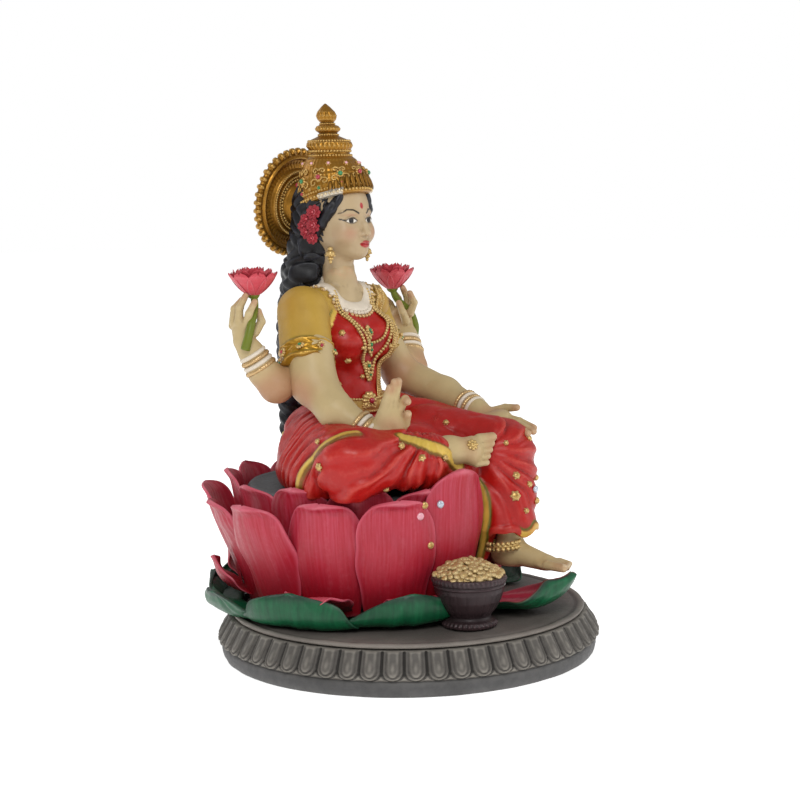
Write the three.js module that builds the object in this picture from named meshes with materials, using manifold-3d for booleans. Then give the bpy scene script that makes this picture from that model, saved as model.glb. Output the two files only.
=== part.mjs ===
import * as THREE from 'three';
import { mergeVertices } from 'three/addons/utils/BufferGeometryUtils.js';
import Module from 'manifold-3d';

// Four-armed goddess seated on a lotus, one cast and hand-painted resin statuette.
// Millimetres, +Z up, origin on the axis of the round base at its underside.
// The figure faces -Y, its own left hand is on the +X side.

const GAP = 0.3;                 // clearance left between touching pieces
const SIDES = 8;                 // facets round a limb
const SMOOTHING = 0.15;          // small facets below this size are merged

// round base
const PLINTH_RADIUS = 62;
const PLINTH_TOP = 5.2;
const BAND_TOP = 13.6;
const PLATE_RADIUS = 57;
const PLATE_TOP = 15.2;
const TONGUES = 56;              // tongue reliefs round the band

// lotus
const LOTUS_Y = 18;              // the lotus stands behind the centre of the base
const POD_TOP = 54;
const PETAL_STEP = 27.7;         // degrees between outer petals
const PETAL_FIRST = 43.5;        // first petal, on the far side of the hanging leg
const PETAL_COUNT = 12;
const LEAF_STEP = 35.5;
const LEAF_FIRST = 72.5;
const LEAF_COUNT = 8;

// figure
const WAIST = [0, 25, 84];
const CHEST = [0, 26, 100];
const NECK = [0, 27, 112];
const HEAD = [0, 27, 141];
const SHOULDER = [20, 27, 111];  // left side, mirrored for the right
const KNEE_RIGHT = [-37, -9.7, 66];
const KNEE_LEFT = [19, -22.6, 63];
const HEM_LEFT = [15.2, -29.6, 45.5];
const ELBOW_FRONT = [30, 18, 85];
const ELBOW_REAR = [33, 22.5, 87];
const WRISTS = {
  frontRight: [-26.5, -2.5, 76.5],
  frontLeft: [26, -2, 76.4],
  rearRight: [-39.6, 28.4, 98],
  rearLeft: [35.4, 28.4, 97],
};
const HALO = [0, 47, 145];
const HALO_RADIUS = 18;

const POT = [-14.3, -36.5, PLATE_TOP + GAP];

const rad = (degrees) => degrees * Math.PI / 180;
const vec = (p) => new THREE.Vector3(p[0], p[1], p[2]);
const outward = (p, side) => [side * p[0], p[1], p[2]];

const wasm = await Module();
wasm.setup();

// ---------------------------------------------------------------- solids

function toSolid(geometry) {
  geometry.deleteAttribute('normal');
  geometry.deleteAttribute('uv');
  const clean = mergeVertices(geometry, 1e-4);
  const index = clean.index.array;
  const kept = [];
  for (let i = 0; i < index.length; i += 3) {
    const [a, b, c] = [index[i], index[i + 1], index[i + 2]];
    if (a !== b && b !== c && a !== c) kept.push(a, b, c);
  }
  const solid = new wasm.Manifold(new wasm.Mesh({
    numProp: 3,
    vertProperties: new Float32Array(clean.attributes.position.array),
    triVerts: new Uint32Array(kept),
  }));
  return solid;
}

function toGeometry(solid) {
  const mesh = solid.getMesh();
  const geometry = new THREE.BufferGeometry();
  const points = new THREE.BufferAttribute(new Float32Array(mesh.vertProperties), 3);
  geometry.setAttribute('position', points);
  geometry.setIndex(new THREE.BufferAttribute(new Uint32Array(mesh.triVerts), 1));
  geometry.computeVertexNormals();
  return geometry;
}

function join(solids) {
  return solids.reduce((whole, next) => whole.add(next));
}

// solid of revolution about a vertical line; profile as [radius, height] pairs, bottom to top
function turned(profile, centre, segments, grow) {
  const low = profile[0][1];
  const high = profile[profile.length - 1][1];
  const points = profile.map(([r, z]) => {
    const lift = z <= low ? -grow : z >= high ? grow : 0;
    return new THREE.Vector2(r > 0 ? r + grow : 0, z + lift);
  });
  const shape = new THREE.LatheGeometry(points, segments);
  shape.rotateX(Math.PI / 2);
  shape.translate(centre[0], centre[1], centre[2]);
  return toSolid(shape);
}

// tapered limb with round ends
function bone(a, ra, b, rb, grow, sides = SIDES, rounds = 2) {
  const from = vec(a);
  const along = vec(b).sub(from);
  const length = along.length();
  const points = [];
  for (let i = 0; i <= rounds; i++) {
    const t = Math.PI / 2 * (i / rounds - 1);
    const r = ra + grow;
    points.push(new THREE.Vector2(Math.cos(t) * r * (i > 0), Math.sin(t) * r));
  }
  for (let i = 0; i <= rounds; i++) {
    const t = Math.PI / 2 * i / rounds;
    const r = rb + grow;
    points.push(new THREE.Vector2(Math.cos(t) * r * (i < rounds), length + Math.sin(t) * r));
  }
  const shape = new THREE.LatheGeometry(points, sides);
  const turn = new THREE.Quaternion();
  turn.setFromUnitVectors(new THREE.Vector3(0, 1, 0), along.normalize());
  shape.applyQuaternion(turn);
  shape.translate(from.x, from.y, from.z);
  return toSolid(shape);
}

function limb(stations, grow, sides = SIDES) {
  const bones = [];
  for (let i = 1; i < stations.length; i++) {
    const [a, ra] = stations[i - 1];
    const [b, rb] = stations[i];
    bones.push(bone(a, ra, b, rb, grow, sides));
  }
  return join(bones);
}

function ball(centre, radii, grow, columns = 12, rows = 8) {
  const shape = new THREE.SphereGeometry(1, columns, rows);
  shape.scale(radii[0] + grow, radii[1] + grow, radii[2] + grow);
  shape.translate(centre[0], centre[1], centre[2]);
  return toSolid(shape);
}

// ring in the plane square to the given axis
function ring(centre, axis, radius, tube, grow, segments = 16) {
  const shape = new THREE.TorusGeometry(radius, tube + grow, 5, segments);
  const turn = new THREE.Quaternion();
  turn.setFromUnitVectors(new THREE.Vector3(0, 0, 1), vec(axis).normalize());
  shape.applyQuaternion(turn);
  shape.translate(centre[0], centre[1], centre[2]);
  return toSolid(shape);
}

function rope(points, radius, grow, steps, closed = false) {
  const path = new THREE.CatmullRomCurve3(points.map(vec), closed);
  const outline = new THREE.Shape();
  outline.absarc(0, 0, radius + grow, 0, 2 * Math.PI);
  const shape = new THREE.ExtrudeGeometry(outline, {
    steps,
    curveSegments: 3,
    extrudePath: path,
    bevelEnabled: false,
  });
  return toSolid(shape);
}

// curved blade such as a petal or a leaf, standing round the lotus axis
function blade({ angle, profile, width, outline, thick, cup = 0, cells = [3, 5] }, grow) {
  const shape = new THREE.BoxGeometry(2, 1, 2, cells[0], cells[1], 1);
  const place = shape.attributes.position;
  const curve = new THREE.CatmullRomCurve3(profile.map(([r, z]) => new THREE.Vector3(r, 0, z)));
  for (let i = 0; i < place.count; i++) {
    const u = place.getX(i);
    const side = place.getZ(i);
    const v = place.getY(i) + 0.5;
    const mid = curve.getPoint(v);
    const tangent = curve.getTangent(v);
    const end = v <= 0 ? -grow : v >= 1 ? grow : 0;
    const half = width * outline(v) + grow;
    const push = side * (thick / 2 + grow);
    const r = mid.x + tangent.x * end + tangent.z * push + cup * u * u * v;
    const z = mid.z + tangent.z * end - tangent.x * push;
    const turn = rad(angle) + u * half / Math.max(mid.x, 1);
    place.setXYZ(i, r * Math.sin(turn), LOTUS_Y - r * Math.cos(turn), z);
  }
  return toSolid(shape);
}

// ---------------------------------------------------------------- base

const plinth = (g) => turned([
  [0, 0], [60.6, 0], [PLINTH_RADIUS, 1.5], [PLINTH_RADIUS, 4.4], [61, PLINTH_TOP], [0, PLINTH_TOP],
], [0, 0, 0], 36, g);

function petalBand(g) {
  const profile = [[0, PLINTH_TOP + GAP], [61, PLINTH_TOP + GAP], [61.6, 6.6], [56.8, BAND_TOP], [0, BAND_TOP]];
  const points = profile.map(([r, z]) => new THREE.Vector2(r > 0 ? r + g : 0, z));
  const shape = new THREE.LatheGeometry(points, 2 * TONGUES);
  const place = shape.attributes.position;
  for (let i = 0; i < place.count; i++) {
    const x = place.getX(i);
    const z = place.getZ(i);
    const tooth = Math.cos(Math.atan2(x, z) * TONGUES) > 0 ? 1 : 0.991;
    place.setXYZ(i, x * tooth, place.getY(i), z * tooth);
  }
  shape.rotateX(Math.PI / 2);
  return toSolid(shape);
}

const topPlate = (g) => turned([
  [0, BAND_TOP + GAP], [PLATE_RADIUS - 0.6, BAND_TOP + GAP], [PLATE_RADIUS, BAND_TOP + 0.9],
  [PLATE_RADIUS - 0.8, PLATE_TOP], [0, PLATE_TOP],
], [0, 0, 0], 36, g);

// ---------------------------------------------------------------- lotus

const seatPod = (g) => turned([
  [0, PLATE_TOP + GAP], [34, PLATE_TOP + GAP], [35, 24], [36.5, 44], [37.5, 52], [36, POD_TOP],
  [0, POD_TOP],
], [0, LOTUS_Y, 0], 22, g);

const petalOutline = (v) => 0.62 + 0.42 * Math.sin(Math.PI * Math.min(1, v * 1.05)) - 0.42 * v ** 6;
const leafOutline = (v) => 0.8 + 0.3 * Math.sin(Math.PI * v) - 0.62 * v ** 3;

function outerPetal(i, g) {
  const angle = PETAL_FIRST + PETAL_STEP * i;
  const layer = i % 2 ? 1.3 : -1.3;
  const height = i === PETAL_COUNT - 1 ? 62 : 54 + 2 * Math.cos(rad(angle + 30));
  const profile = [
    [39.6 + layer, 18], [43.4 + layer, 27], [46.6 + layer, 40], [48.6 + layer, height - 5],
    [50.5 + layer, height],
  ];
  return blade({ angle, profile, width: 12.6, outline: petalOutline, thick: 1.6, cup: -1 }, g);
}

function innerPetals(g) {
  const petals = [];
  for (let i = 0; i < PETAL_COUNT; i++) {
    const angle = PETAL_FIRST + PETAL_STEP * (i - 0.5);
    if (i === 0) continue;
    const profile = [[38.6, 30], [40.6, 40], [42.4, 50], [43.6, 57]];
    petals.push(blade({ angle, profile, width: 9.5, outline: petalOutline, thick: 1.5, cells: [2, 3] }, g));
  }
  const collar = turned([
    [0, 30], [39.4, 30], [40.4, 38], [0, 38],
  ], [0, LOTUS_Y, 0], 22, g);
  const hollow = turned([[0, 20], [38, 20], [38.6, 45], [0, 45]], [0, LOTUS_Y, 0], 22, -g);
  return join(petals).add(collar.subtract(hollow));
}

function lowerPetals(g) {
  const petals = [];
  for (let i = 0; i < LEAF_COUNT - 1; i++) {
    const angle = LEAF_FIRST + LEAF_STEP * (i + 0.5);
    const profile = [[40, 19.4], [44.5, 21.5], [48, 25], [50, 29.5]];
    petals.push(blade({ angle, profile, width: 9, outline: petalOutline, thick: 1.3, cells: [2, 3] }, g));
  }
  const collar = turned([[0, 18.8], [41, 18.8], [41.4, 20.6], [0, 20.6]], [0, LOTUS_Y, 0], 22, g);
  const hollow = turned([[0, 10], [39.2, 10], [39.2, 30], [0, 30]], [0, LOTUS_Y, 0], 22, -g);
  return join(petals).add(collar.subtract(hollow));
}

function leaf(i, g) {
  const angle = LEAF_FIRST + LEAF_STEP * i;
  const layer = i % 2 ? 0.9 : 0;
  const profile = [
    [42, 16.5 + layer], [47, 16.7 + layer], [51.5, 19 + layer], [53.6, 24.6],
  ];
  return blade({ angle, profile, width: 17, outline: leafOutline, thick: 1.4, cup: -1 }, g);
}

function frontLeaf(g) {
  const profile = [[44, 17.4], [56, 19.5], [67, 24], [74.5, 29]];
  const outline = (v) => 0.75 + 0.35 * Math.sin(Math.PI * v) - 0.72 * v ** 3;
  return blade({ angle: 12, profile, width: 12.5, outline, thick: 1.8 }, g);
}

// ---------------------------------------------------------------- pot of gold

const pot = (g) => turned([
  [0, 0], [7.8, 0], [8.2, 1.4], [6.6, 3.2], [9.2, 7], [10.8, 11], [11.2, 15], [10.4, 15.6], [0, 15.6],
], POT, 14, g);

function coinHeap(g) {
  const top = POT[2] + 15.6 + GAP;
  const heap = turned([[0, 0], [9.6, 0], [8.4, 2], [4.6, 4], [0, 4.9]], [POT[0], POT[1], top], 14, g);
  const coins = [];
  for (let i = 0; i < 7; i++) {
    const turn = rad(i * 360 / 7);
    const at = [POT[0] + 6.6 * Math.cos(turn), POT[1] + 6.6 * Math.sin(turn), top + 3];
    coins.push(ball(at, [1.9, 1.9, 1.3], g, 6, 4));
  }
  return join([heap, ...coins]);
}

// ---------------------------------------------------------------- head

const head = (g) => join([
  ball(HEAD, [10.6, 11, 12.4], g, 12, 8),
  ball([0, 22, 132.5], [7.6, 7.6, 8.2], g),
  bone([0, 26.4, 122], 5, [0, 26, 130], 5, g),
]);

function hair(g) {
  const shell = ball([0, 30.4, 140.6], [12.2, 10.6, 12], g, 12, 8);
  const nape = bone([0, 34, 134], 9.6, [0, 38.5, 125], 7.5, g);
  const lockRight = bone([-11, 24.5, 143], 1.6, [-10.8, 25, 133], 1.4, g, 8);
  const lockLeft = bone([11, 24.5, 143], 1.6, [10.8, 25, 133], 1.4, g, 8);
  return join([shell, nape, lockRight, lockLeft]);
}

const braid = (g) => limb([
  [[0, 41, 121], 5.2], [[0, 43.6, 108], 4], [[0, 45, 90], 3.8], [[0, 48.5, 72], 3.6],
  [[0, 50.4, 62], 2.8],
], g, 10);

function crown(g) {
  const lower = turned([
    [0, 145.5], [12.2, 145.5], [12.6, 148], [12, 153], [10, 157.5], [6.6, 160.4], [6, 161],
    [7.8, 162.4], [8, 164.6], [5, 166.4], [3, 167.4], [3.9, 168.6], [2.4, 169.8], [3.4, 172],
    [2.8, 174.4], [0.8, 176.6], [0, 177],
  ], [0, 29.2, 0], 14, g);
  return lower;
}

function halo(g) {
  const steps = 2 * 20;
  const outline = new THREE.Shape();
  for (let i = 0; i < steps; i++) {
    const r = HALO_RADIUS + g - (i % 2 ? 0.9 : 0);
    const turn = rad(i * 360 / steps);
    const point = [r * Math.cos(turn), r * Math.sin(turn)];
    if (i === 0) outline.moveTo(...point);
    else outline.lineTo(...point);
  }
  const plate = new THREE.ExtrudeGeometry(outline, { depth: 2.6 + 2 * g, bevelEnabled: false });
  plate.translate(0, 0, -1.3 - g);
  plate.rotateX(Math.PI / 2 - rad(8));
  plate.translate(HALO[0], HALO[1], HALO[2]);
  return toSolid(plate);
}

const earFlower = (side) => (g) => ball([side * 12.2, 29, 138], [3, 4.6, 5], g, 10, 6);
const earring = (side) => (g) => ball([side * 11, 25.4, 129], [1.5, 1.7, 2], g, 8, 6);

// ---------------------------------------------------------------- body

const torso = (g) => join([
  limb([[[0, 27, 76], 12.5], [WAIST, 11], [CHEST, 12.5]], g, 12),
  bone([-8, 17.4, 100], 7.2, [8, 17.4, 100], 7.2, g),
  bone([-17, 27, 111], 7.2, [17, 27, 111], 7.2, g),
  bone(NECK, 6, [0, 26.4, 121], 5, g),
]);

const skirt = (g) => join([
  bone([-12, 27, 68], 14, [12, 27, 68], 14, g, 10),
  limb([[[-12, 24, 68], 13], [KNEE_RIGHT, 10.5], [[-9, -17.5, 66.5], 8]], g, 10),
  bone([12, 22, 68], 12.5, KNEE_LEFT, 11, g, 10),
  bone([-14, 2, 65], 10, [12, -4, 65], 10, g),
]);

const shinDrape = (g) => limb([[[18.4, -24.6, 56.5], 9.9], [HEM_LEFT, 7.4]], g, 10);

const sash = (g) => rope([
  [14, 21, 118], [11.5, 12.4, 108], [7.4, 8.4, 98], [4.4, 11.6, 88], [1.5, 12.6, 81],
], 1.7, g, 12);

const sleeve = (side) => (g) => bone(
  outward(SHOULDER, side), 8,
  [side * 28, 20.5, 96], 7.2, g, 10);

const rightFoot = (g) => join([
  limb([[[-3, -20, 68], 4.6], [[4, -24, 68], 4.4], [[10, -28, 67.6], 3.6]], g, 10),
  bone([9, -28.6, 70.4], 1.6, [13, -30.4, 70.6], 1.5, g, 8),
  bone([9, -29, 65.4], 1.2, [12.2, -30.4, 64.4], 1.1, g, 8),
]);

const leftFoot = (g) => join([
  limb([[[15, -30.4, 40], 4.3], [[15, -27.6, 33.2], 4.2]], g, 10),
  limb([[[15, -30.4, 34], 4.4], [[16, -43, 31.8], 3.2], [[17.4, -53, 31], 1.9]], g, 10),
]);

const anklet = (g) => ring([15, -30.2, 35.6], [0, 0.1, 1], 4.9, 1.1, g);

// ---------------------------------------------------------------- arms

const finger = (root, tip, r, g) => bone(root, r, tip, r * 0.8, g, 6, 1);

function frontArm(side, wrist, palm, tips) {
  const elbow = outward(ELBOW_FRONT, side);
  return (g) => join([
    bone([side * 27, 21, 98], 5.6, elbow, 5.7, g),
    bone(elbow, 5.6, wrist, 3.8, g),
    bone(wrist, 3.6, palm, 3.6, g),
    ...tips.map(([root, tip, r]) => finger(root, tip, r, g)),
  ]);
}

const frontRightArm = frontArm(-1, WRISTS.frontRight, [-24.5, -7.6, 79], [
  [[-27, -9, 82], [-26, -12.6, 91], 1.4], [[-24.6, -9.2, 82], [-23.6, -13.2, 92.6], 1.5],
  [[-22.2, -9.4, 82], [-21.2, -13, 91.6], 1.4], [[-21, -9, 80], [-18, -12, 84], 1.4],
]);

const frontLeftArm = frontArm(1, WRISTS.frontLeft, [24.8, -12.6, 75.6], [
  [[27.4, -14, 75.4], [26.6, -28, 73.6], 1.5], [[25, -15, 75.4], [23.8, -30.4, 73], 1.5],
  [[22.6, -14.6, 75.2], [20.6, -28, 72.6], 1.4], [[28.4, -10, 76], [30.4, -19, 76.6], 1.6],
]);

function rearArm(side, wrist, palm, tips) {
  const elbow = outward(ELBOW_REAR, side);
  return (g) => join([
    bone([side * 29, 24, 90], 5, elbow, 5.2, g),
    bone(elbow, 5.2, wrist, 3.7, g),
    bone(wrist, 3.6, palm, 3.8, g),
    ...tips.map(([root, tip, r]) => finger(root, tip, r, g)),
  ]);
}

const rearRightArm = rearArm(-1, WRISTS.rearRight, [-42, 31, 106], [
  [[-43.4, 30, 109], [-42, 28.6, 116], 1.5], [[-43.6, 33, 109], [-40, 33.6, 115.4], 1.5],
  [[-40.4, 28.6, 107], [-38, 28.4, 113], 1.4],
]);

const rearLeftArm = rearArm(1, WRISTS.rearLeft, [37, 31.6, 104.4], [
  [[38.6, 30.6, 107], [37.4, 29.6, 114], 1.5], [[38.6, 33.6, 107], [35.6, 34.6, 113.4], 1.5],
  [[35.4, 29.2, 105], [33.4, 29.4, 111], 1.4],
]);

// three bangles cast as one ridged cuff, just above the wrist
function bangles(elbow, wrist) {
  const axis = vec(wrist).sub(vec(elbow)).normalize();
  const centre = vec(wrist).addScaledVector(axis, -2.4);
  const turn = new THREE.Quaternion().setFromUnitVectors(new THREE.Vector3(0, 1, 0), axis);
  return (g) => {
    const ridge = 5.5 + g;
    const groove = 4.9 + g;
    const bore = 3.2 - g;
    const half = 2.1 + g;
    const shape = new THREE.LatheGeometry([
      [bore, -half], [ridge, -half], [groove, -0.7], [ridge, 0], [groove, 0.7], [ridge, half],
      [bore, half], [bore, -half],
    ].map(([r, z]) => new THREE.Vector2(r, z)), 10);
    shape.applyQuaternion(turn);
    shape.translate(centre.x, centre.y, centre.z);
    return toSolid(shape);
  };
}

// ---------------------------------------------------------------- held flowers, jewellery

function handLotus(x, y, z) {
  return (g) => {
    const cup = turned([
      [0, -5], [2.4, -4.4], [5.2, -1.4], [7.6, 2.2], [5.8, 2.9], [0, 2.6],
    ], [x, y, z], 14, g);
    const stem = bone([x - Math.sign(x) * -1.4, y - 0.6, z - 15], 0.9, [x, y, z - 4], 1, g, 8);
    return cup.add(stem);
  };
}

const collar = (g) => ring([0, 23.4, 116.6], [0, -0.5, 1], 8.6, 1.4, g, 20);

const beadChain = (g) => join([
  ring([0, 21.4, 107.4], [0, -1.25, 1], 12.4, 0.9, g, 24),
  ball([0, 10, 99], [2.2, 1.8, 3], g, 8, 6),
]);

const belt = (g) => join([
  ring([0, 25.4, 80.6], [0, -0.12, 1], 12, 1.6, g, 24),
  ball([0, 12.6, 81], [4.2, 2, 3.4], g, 10, 6),
]);

// ---------------------------------------------------------------- assembly

const PAINT = {
  stone: ['#6f6b66', 0.85, 0],
  plate: ['#7d7871', 0.85, 0],
  petal: ['#cf5a6c', 0.55, 0],
  pod: ['#55565a', 0.8, 0],
  leaf: ['#0c5a3c', 0.5, 0],
  bronze: ['#4a3638', 0.5, 0.3],
  gold: ['#c9982f', 0.4, 0.6],
  oldGold: ['#a67a26', 0.5, 0.6],
  skin: ['#cdbb9e', 0.6, 0],
  hair: ['#1c1f2b', 0.55, 0],
  sari: ['#c8201f', 0.6, 0],
  blouse: ['#c79a3a', 0.6, 0],
  flower: ['#d0435c', 0.6, 0],
  cream: ['#d9cfb4', 0.6, 0],
};

const pieces = [
  ['plinth', 'stone', plinth],
  ['petal_band', 'stone', petalBand],
  ['top_plate', 'plate', topPlate],
  ['seat_pod', 'pod', seatPod],
  ['pot', 'bronze', pot],
  ['coin_heap', 'gold', coinHeap],
  ['torso', 'sari', torso],
  ['skirt', 'sari', skirt],
  ['shin_drape', 'sari', shinDrape],
  ['left_foot', 'skin', leftFoot],
  ['right_foot', 'skin', rightFoot],
  ['front_right_arm', 'skin', frontRightArm],
  ['front_left_arm', 'skin', frontLeftArm],
  ['rear_right_arm', 'skin', rearRightArm],
  ['rear_left_arm', 'skin', rearLeftArm],
  ['head', 'skin', head],
  ['hair', 'hair', hair],
  ['crown', 'oldGold', crown],
  ['halo', 'oldGold', halo],
  ['braid', 'hair', braid],
  ['sleeve_right', 'blouse', sleeve(-1)],
  ['sleeve_left', 'blouse', sleeve(1)],
  ['sash', 'gold', sash],
  ['collar_necklace', 'cream', collar],
  ['bead_chain', 'gold', beadChain],
  ['belt', 'gold', belt],
  ['earring_right', 'gold', earring(-1)],
  ['earring_left', 'gold', earring(1)],
  ['ear_flower_right', 'flower', earFlower(-1)],
  ['ear_flower_left', 'flower', earFlower(1)],
  ['bangles_front_right', 'cream', bangles(outward(ELBOW_FRONT, -1), WRISTS.frontRight)],
  ['bangles_front_left', 'cream', bangles(ELBOW_FRONT, WRISTS.frontLeft)],
  ['bangles_rear_right', 'cream', bangles(outward(ELBOW_REAR, -1), WRISTS.rearRight)],
  ['bangles_rear_left', 'cream', bangles(ELBOW_REAR, WRISTS.rearLeft)],
  ['anklet', 'gold', anklet],
  ['hand_lotus_right', 'flower', handLotus(-37, 30, 121)],
  ['hand_lotus_left', 'flower', handLotus(34, 33, 119)],
  ['front_leaf', 'leaf', frontLeaf],
];
for (let i = 0; i < LEAF_COUNT; i++) pieces.push([`leaf_${i + 1}`, 'leaf', (g) => leaf(i, g)]);
for (let i = 0; i < PETAL_COUNT; i++) {
  pieces.push([`outer_petal_${i + 1}`, 'petal', (g) => outerPetal(i, g)]);
}
pieces.push(['inner_petals', 'petal', innerPetals]);
pieces.push(['lower_petals', 'petal', lowerPetals]);

function boxesMeet(a, b) {
  return [0, 1, 2].every((k) => a.min[k] < b.max[k] && b.min[k] < a.max[k]);
}

function largest(solid) {
  const parts = solid.decompose();
  return parts.reduce((best, part) => (part.volume() > best.volume() ? part : best));
}

const tidy = (solid) => solid.asOriginal().simplify(SMOOTHING);

// every piece gives way to the pieces listed before it
function fitTogether(list) {
  const root = new THREE.Group();
  root.name = 'lotus_goddess_statuette';
  const earlier = [];
  for (const [name, paint, build] of list) {
    let solid = tidy(build(0));
    for (const other of earlier) {
      if (boxesMeet(solid.boundingBox(), other.boundingBox())) solid = solid.subtract(other);
    }
    if (solid.isEmpty()) throw new Error(`${name} is wholly inside its neighbours`);
    solid = tidy(largest(solid));
    earlier.push(tidy(build(GAP)));
    const [color, roughness, metalness] = PAINT[paint];
    const material = new THREE.MeshStandardMaterial({ color, roughness, metalness });
    const mesh = new THREE.Mesh(toGeometry(solid), material);
    mesh.name = name;
    root.add(mesh);
  }
  return root;
}

export default fitTogether(pieces);
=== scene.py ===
import math

import bpy
import numpy as np
from mathutils import Matrix, Vector


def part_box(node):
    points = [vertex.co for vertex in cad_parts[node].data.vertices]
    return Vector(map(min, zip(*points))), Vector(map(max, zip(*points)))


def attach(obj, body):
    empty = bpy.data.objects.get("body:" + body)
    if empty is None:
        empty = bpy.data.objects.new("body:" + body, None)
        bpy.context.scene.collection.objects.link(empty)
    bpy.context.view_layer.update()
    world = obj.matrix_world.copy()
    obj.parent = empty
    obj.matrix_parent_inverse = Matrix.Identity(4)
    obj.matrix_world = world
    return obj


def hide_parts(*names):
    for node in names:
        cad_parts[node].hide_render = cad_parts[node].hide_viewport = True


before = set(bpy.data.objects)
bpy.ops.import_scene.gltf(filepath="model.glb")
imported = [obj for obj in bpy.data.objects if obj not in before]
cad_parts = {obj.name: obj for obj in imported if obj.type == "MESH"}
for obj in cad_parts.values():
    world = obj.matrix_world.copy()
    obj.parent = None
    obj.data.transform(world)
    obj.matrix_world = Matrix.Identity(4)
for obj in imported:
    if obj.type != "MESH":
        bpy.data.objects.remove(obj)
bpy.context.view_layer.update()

MM = 0.001
TAU = 2 * math.pi
LOTUS_Y = 18.0  # the lotus stands behind the centre of the base


def at(node):
    """Centre of a CAD node in millimetres."""
    low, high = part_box(node)
    return (np.array(low) + np.array(high)) / 2 / MM


def corner(node, end):
    """Lowest (0) or highest (1) corner of a CAD node in millimetres."""
    return np.array(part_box(node)[end]) / MM


# ------------------------------------------------------------------ numbers


def noise3(points, size, seed=0):
    """Smooth value noise from -1 to 1, with cells of the given size."""
    q = points / size
    whole = np.floor(q).astype(np.int64)
    part = q - whole
    part = part * part * (3 - 2 * part)

    def corner_value(dx, dy, dz):
        n = (whole[:, 0] + dx) * 374761393 + (whole[:, 1] + dy) * 668265263
        n = (n + (whole[:, 2] + dz) * 1442695041 + seed * 974634777) & 0xFFFFFFFF
        n = ((n ^ (n >> 13)) * 1274126177) & 0xFFFFFFFF
        return ((n ^ (n >> 16)) & 0xFFFF) / 32767.5 - 1

    def along_x(dy, dz):
        a, b = corner_value(0, dy, dz), corner_value(1, dy, dz)
        return a + (b - a) * part[:, 0]

    def along_y(dz):
        a, b = along_x(0, dz), along_x(1, dz)
        return a + (b - a) * part[:, 1]

    a, b = along_y(0), along_y(1)
    return a + (b - a) * part[:, 2]


def ramp(x, low, high):
    """Rises smoothly from 0 to 1 between two values."""
    t = np.clip((x - low) / (high - low), 0, 1)
    return t * t * (3 - 2 * t)


def bump(x, centre, width):
    """A soft bump, 1 high, round a value."""
    return np.exp(-(((x - centre) / width) ** 2))


def unit(v):
    """The same direction, one long."""
    v = np.array(v, float)
    return v / np.linalg.norm(v)


def smooth_path(points, count):
    """Catmull-Rom curve through the points, evenly spaced."""
    p = np.array(points, float)
    p = np.vstack([2 * p[0] - p[1], p, 2 * p[-1] - p[-2]])
    t = np.linspace(0, 1, 24, endpoint=False)[:, None]
    rows = [
        0.5 * (2 * b + (c - a) * t + (2 * a - 5 * b + 4 * c - d) * t**2 + (3 * b - a - 3 * c + d) * t**3)
        for a, b, c, d in zip(p, p[1:], p[2:], p[3:])
    ]
    fine = np.vstack([*rows, p[-2][None]])
    return even_steps(fine, lambda length: count)


def even_steps(path, count_for):
    """Points evenly spaced along a polyline; their number is worked out from its length."""
    run = np.concatenate([[0], np.cumsum(np.linalg.norm(np.diff(path, axis=0), axis=1))])
    want = np.linspace(0, run[-1], count_for(run[-1]))
    return np.stack([np.interp(want, run, path[:, k]) for k in range(path.shape[1])], 1)


# ------------------------------------------------------------------ solid shapes as distances


def bone(p, a, b, ra, rb):
    """Distance to a round-ended rod that tapers from one radius to another."""
    a, b = np.array(a, float), np.array(b, float)
    along = b - a
    t = np.clip((p - a) @ along / (along @ along), 0, 1)
    return np.linalg.norm(p - a - t[:, None] * along, axis=1) - (ra + (rb - ra) * t)


def blob(p, centre, radii, turn=None):
    """Nearly the distance to an ellipsoid."""
    q = p - np.array(centre, float)
    if turn is not None:
        q = q @ turn
    r = np.array(radii, float)
    k = np.linalg.norm(q / r, axis=1)
    return k * (k - 1) / np.maximum(np.linalg.norm(q / r**2, axis=1), 1e-9)


def melt(a, b, k):
    """Smooth union."""
    h = np.clip(0.5 + 0.5 * (b - a) / k, 0, 1)
    return b + (a - b) * h - k * h * (1 - h)


def carve(a, b, k):
    """Takes b out of a, with a soft edge."""
    h = np.clip(0.5 - 0.5 * (a + b) / k, 0, 1)
    return a + (-b - a) * h + k * h * (1 - h)


def grow(p, f, *shapes):
    """Melts shapes on in turn: (softness, centre, radii) is a blob, (softness, end, end, radius, radius) a bone."""
    for k, *numbers in shapes:
        f = melt(f, (blob if len(numbers) == 2 else bone)(p, *numbers), k)
    return f


def limb(p, stations, k=1.0):
    """Bones joined end to end through (point, radius) stations."""
    f = None
    for (a, ra), (b, rb) in zip(stations, stations[1:]):
        d = bone(p, a, b, ra, rb)
        f = d if f is None else melt(f, d, k)
    return f


def sample(fn, low, high, step, slack=1.2):
    """Distances on a grid, worked out only near the surface."""
    block = 6
    low, high = np.array(low, float), np.array(high, float)
    blocks = np.ceil((high - low) / (step * block)).astype(int) + 1
    index = np.stack(np.meshgrid(*[np.arange(n) for n in blocks], indexing="ij"), -1)
    middle = low + (index.reshape(-1, 3) * block + (block - 1) / 2) * step
    coarse = fn(middle)
    reach = block * step * 0.87 * 1.15 + slack
    near = np.nonzero(np.abs(coarse) < reach)[0]
    field = np.repeat(np.sign(coarse) * 9.0, block**3).reshape(-1, block**3)
    inner = np.stack(np.meshgrid(*[np.arange(block)] * 3, indexing="ij"), -1).reshape(-1, 3)
    for part in np.array_split(near, max(1, len(near) * block**3 // 400000)):
        first = index.reshape(-1, 3)[part] * block
        points = low + (first[:, None] + inner[None]) * step
        field[part] = fn(points.reshape(-1, 3)).reshape(len(part), -1)
    field = field.reshape(*blocks, block, block, block).transpose(0, 3, 1, 4, 2, 5)
    return field.reshape(blocks * block), low


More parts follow.
